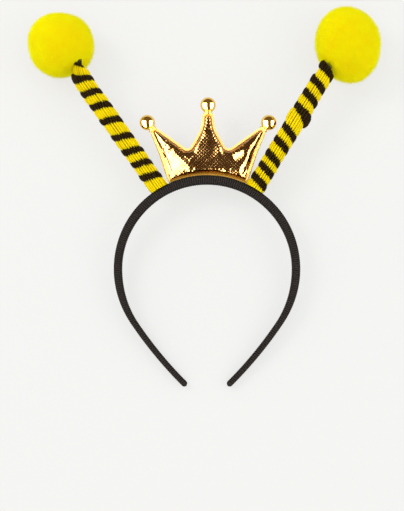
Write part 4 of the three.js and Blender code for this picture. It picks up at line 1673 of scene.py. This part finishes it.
    def build_bead(self, name: str, tip: Array, way: Array, plane: DrawingPlane) -> bpy.types.Object:
        """Turn one bead: a ball on a short flared collar that sits on the crown's point."""
        radius = self.bead_radius
        seat = self.piping_radius + self.clearance + radius
        profile = [(0.0, radius)]
        for k in range(1, 27):
            a = math.radians(90 - k * 6)
            profile.append((radius * math.cos(a), radius * math.sin(a)))
        collar = [(0.42, -0.965), (0.5, -1.02), (0.62, -1.1), (0.6, -1.17), (0.4, -1.2), (0.0, -1.2)]
        profile += [(radius * r, radius * h) for r, h in collar]
        sides = self.bead_sides
        turn = around(sides)
        rings = []
        for r, h in profile[1:-1]:
            rings.append(np.column_stack([r * np.cos(turn), np.full(sides, h), r * np.sin(turn)]))
        points = np.vstack([*rings, [[0.0, radius, 0.0]], [[0.0, profile[-1][1], 0.0]]])
        faces = loft_faces(len(rings), sides)[:-2]
        top, bottom = len(points) - 2, len(points) - 1
        last = (len(rings) - 1) * sides
        for j in range(sides):
            faces.append([top, (j + 1) % sides, j])
            faces.append([bottom, last + j, last + (j + 1) % sides])
        right = np.array([way[1], -way[0]])
        centre = tip + way * seat
        plan = points[:, :1] * right + points[:, 1:2] * way + centre
        placed = np.column_stack([plan, points[:, 2]])
        thing = mesh_object(f"gilt_ball_{name}", plane.place(placed), faces)
        thing.data.materials.append(self.bead_finish.material())
        return declare(thing, "gilt_bead", f"crown_bead_{name}")

    def build(self, band: HairBand, plane: DrawingPlane) -> None:
        """Build the pad, its piped edge and the three beads."""
        line, tips = self.outline(band)
        self.build_pad(line, band, plane)
        self.build_piping(line, band, plane)
        for name, (tip, way) in zip(("right", "left", "centre"), tips):
            self.build_bead(name, tip, way, plane)


# The studio


@dataclass
class Studio:
    """A pale table under soft light, and a camera square to the band's plane."""

    lens: float = 85.0
    sensor: float = 36.0
    view_height: float = 347.5
    view_centre: tuple[float, float] = (-3.4, 9.2)
    table_half: float = 3.0
    table_top: TableTop = field(default_factory=TableTop)
    room: float = 1.25
    tint: tuple[float, float, float] = (1.0, 0.995, 0.985)
    bright: float = 14.0
    dark: tuple[float, float, float] = (0.18, 0.135, 0.096)
    bar_middle: float = 0.12
    bar_half: float = 0.4
    cap_from: float = 0.36
    low_from: float = -0.6
    edge_soft: float = 0.06
    wall_soft: float = 0.1
    corner_span: tuple[float, float] = (-0.3, -0.15)

    def add_camera(self, plane: DrawingPlane) -> None:
        """Set the camera at the photograph's angle and framing."""
        data = bpy.data.cameras.new("camera")
        data.lens = self.lens
        data.sensor_width = self.sensor
        data.clip_end = 20
        distance = self.view_height * self.lens / self.sensor
        camera = bpy.data.objects.new("camera", data)
        turn = plane.matrix.to_3x3().to_4x4()
        turn.translation = plane.point(*self.view_centre, distance)
        camera.matrix_world = turn
        bpy.context.scene.collection.objects.link(camera)
        bpy.context.scene.camera = camera

    def add_table(self) -> None:
        """Lay the table's surface at the height of the origin."""
        half = self.table_half
        corners = np.array([[-half, -half, 0], [half, -half, 0], [half, half, 0], [-half, half, 0]])
        mesh = bpy.data.meshes.new("table")
        mesh.from_pydata(corners.tolist(), [], [[0, 1, 2, 3]])
        table = bpy.data.objects.new("table", mesh)
        table.data.materials.append(self.table_top.material())
        bpy.context.scene.collection.objects.link(table)

    def add_world(self, plane: DrawingPlane) -> None:
        """An even pale room.

        What shines mirrors two bright side walls with a dark gap between, as gold needs, and a bright low
        corner on the left.
        """
        world = bpy.data.worlds.new("studio")
        world.use_nodes = True
        tree = world.node_tree
        tree.nodes.clear()
        place = add_node(tree, "ShaderNodeTexCoord", {})
        axes = plane.matrix.to_3x3().col
        reach = []
        for axis in (0, 1):
            settings = {"operation": "DOT_PRODUCT", 1: axes[axis][:]}
            dot = add_node(tree, "ShaderNodeVectorMath", settings, in_0=place.outputs["Generated"])
            reach.append(dot.outputs["Value"])
        across, up = reach
        off_bar = calculated(tree, "ABSOLUTE", calculated(tree, "SUBTRACT", across, self.bar_middle))
        sides = ranged(tree, off_bar, (self.bar_half, self.bar_half + self.edge_soft), (0.0, 1.0))
        below_cap = ranged(tree, up, (self.cap_from, self.cap_from + self.wall_soft), (1.0, 0.0))
        low = ranged(tree, up, (self.low_from - self.wall_soft, self.low_from), (1.0, 0.0))
        leftward = ranged(tree, across, self.corner_span, (1.0, 0.0))
        walls = calculated(tree, "MULTIPLY", sides, below_cap)
        lit = calculated(tree, "MAXIMUM", walls, calculated(tree, "MULTIPLY", low, leftward))
        wall = tuple(self.bright * part for part in self.tint)
        soft = tuple(self.room * part for part in self.tint)
        mirrored = mixed_colour(tree, lit, (*self.dark, 1.0), (*wall, 1.0))
        glossy = add_node(tree, "ShaderNodeLightPath", {}).outputs["Is Glossy Ray"]
        seen = mixed_colour(tree, glossy, (*soft, 1.0), mirrored)
        background = add_node(tree, "ShaderNodeBackground", {}, Color=seen)
        add_node(tree, "ShaderNodeOutputWorld", {}, Surface=background.outputs[0])
        bpy.context.scene.world = world

    def add_softbox(self, name: str, place: Vector, size: tuple[float, float], power: float) -> None:
        """Hang one softbox that faces the headband.

        Args:
            name: Name of the light.
            place: Where it hangs, in metres.
            size: Its width and height in metres.
            power: Its power in watts.
        """
        data = bpy.data.lights.new(name, "AREA")
        data.shape = "RECTANGLE"
        data.size, data.size_y = size
        data.energy = power
        light = bpy.data.objects.new(name, data)
        aim = (Vector((0, 0.02, 0.02)) - place).to_track_quat("-Z", "Y")
        light.matrix_world = Matrix.LocRotScale(place, aim, None)
        light.visible_glossy = False
        bpy.context.scene.collection.objects.link(light)

    def build(self, plane: DrawingPlane) -> None:
        """Set up the camera, the table, the room and the lights."""
        self.add_camera(plane)
        self.add_table()
        self.add_world(plane)
        self.add_softbox("softbox_left", Vector((-0.9, 0.5, 1.1)), (0.5, 0.5), 7.0)
        self.add_softbox("softbox_right", Vector((1.1, -0.3, 1.0)), (0.8, 0.8), 4.0)
        bpy.context.scene.view_settings.view_transform = "Standard"


def dress_stems() -> None:
    """Give the two hidden stems their plain plastic."""
    plastic = PlainPlastic().material()
    for side in Side:
        stem = frame["nodes"][f"antenna_stem_{side.name.lower()}"]
        stem.data.materials.clear()
        stem.data.materials.append(plastic)


def main() -> None:
    """Build the studio and every piece of the headband, in order."""
    logging.basicConfig(level=logging.INFO, format="%(name)s: %(message)s")
    band = HairBand()
    plane = DrawingPlane.from_seat(frame["record"], band.seat_height)
    Studio().build(plane)
    band.build(plane)
    Crown().build(band, plane)
    pile = pile_tree()
    for antenna in (LEFT_ANTENNA, RIGHT_ANTENNA):
        for cord, finish in CORD_FINISHES.items():
            antenna.build_cord(cord, finish, pile, band, plane)
    Pompom(LEFT_ANTENNA, 1.189, 0.095, 1.045, 1.005, 0.0, seed=3).build(pile, band, plane)
    Pompom(RIGHT_ANTENNA, 1.217, 0.159, 0.995, 1.186, 14.0, seed=8).build(pile, band, plane)
    dress_stems()


if __name__ == "__main__":
    main()
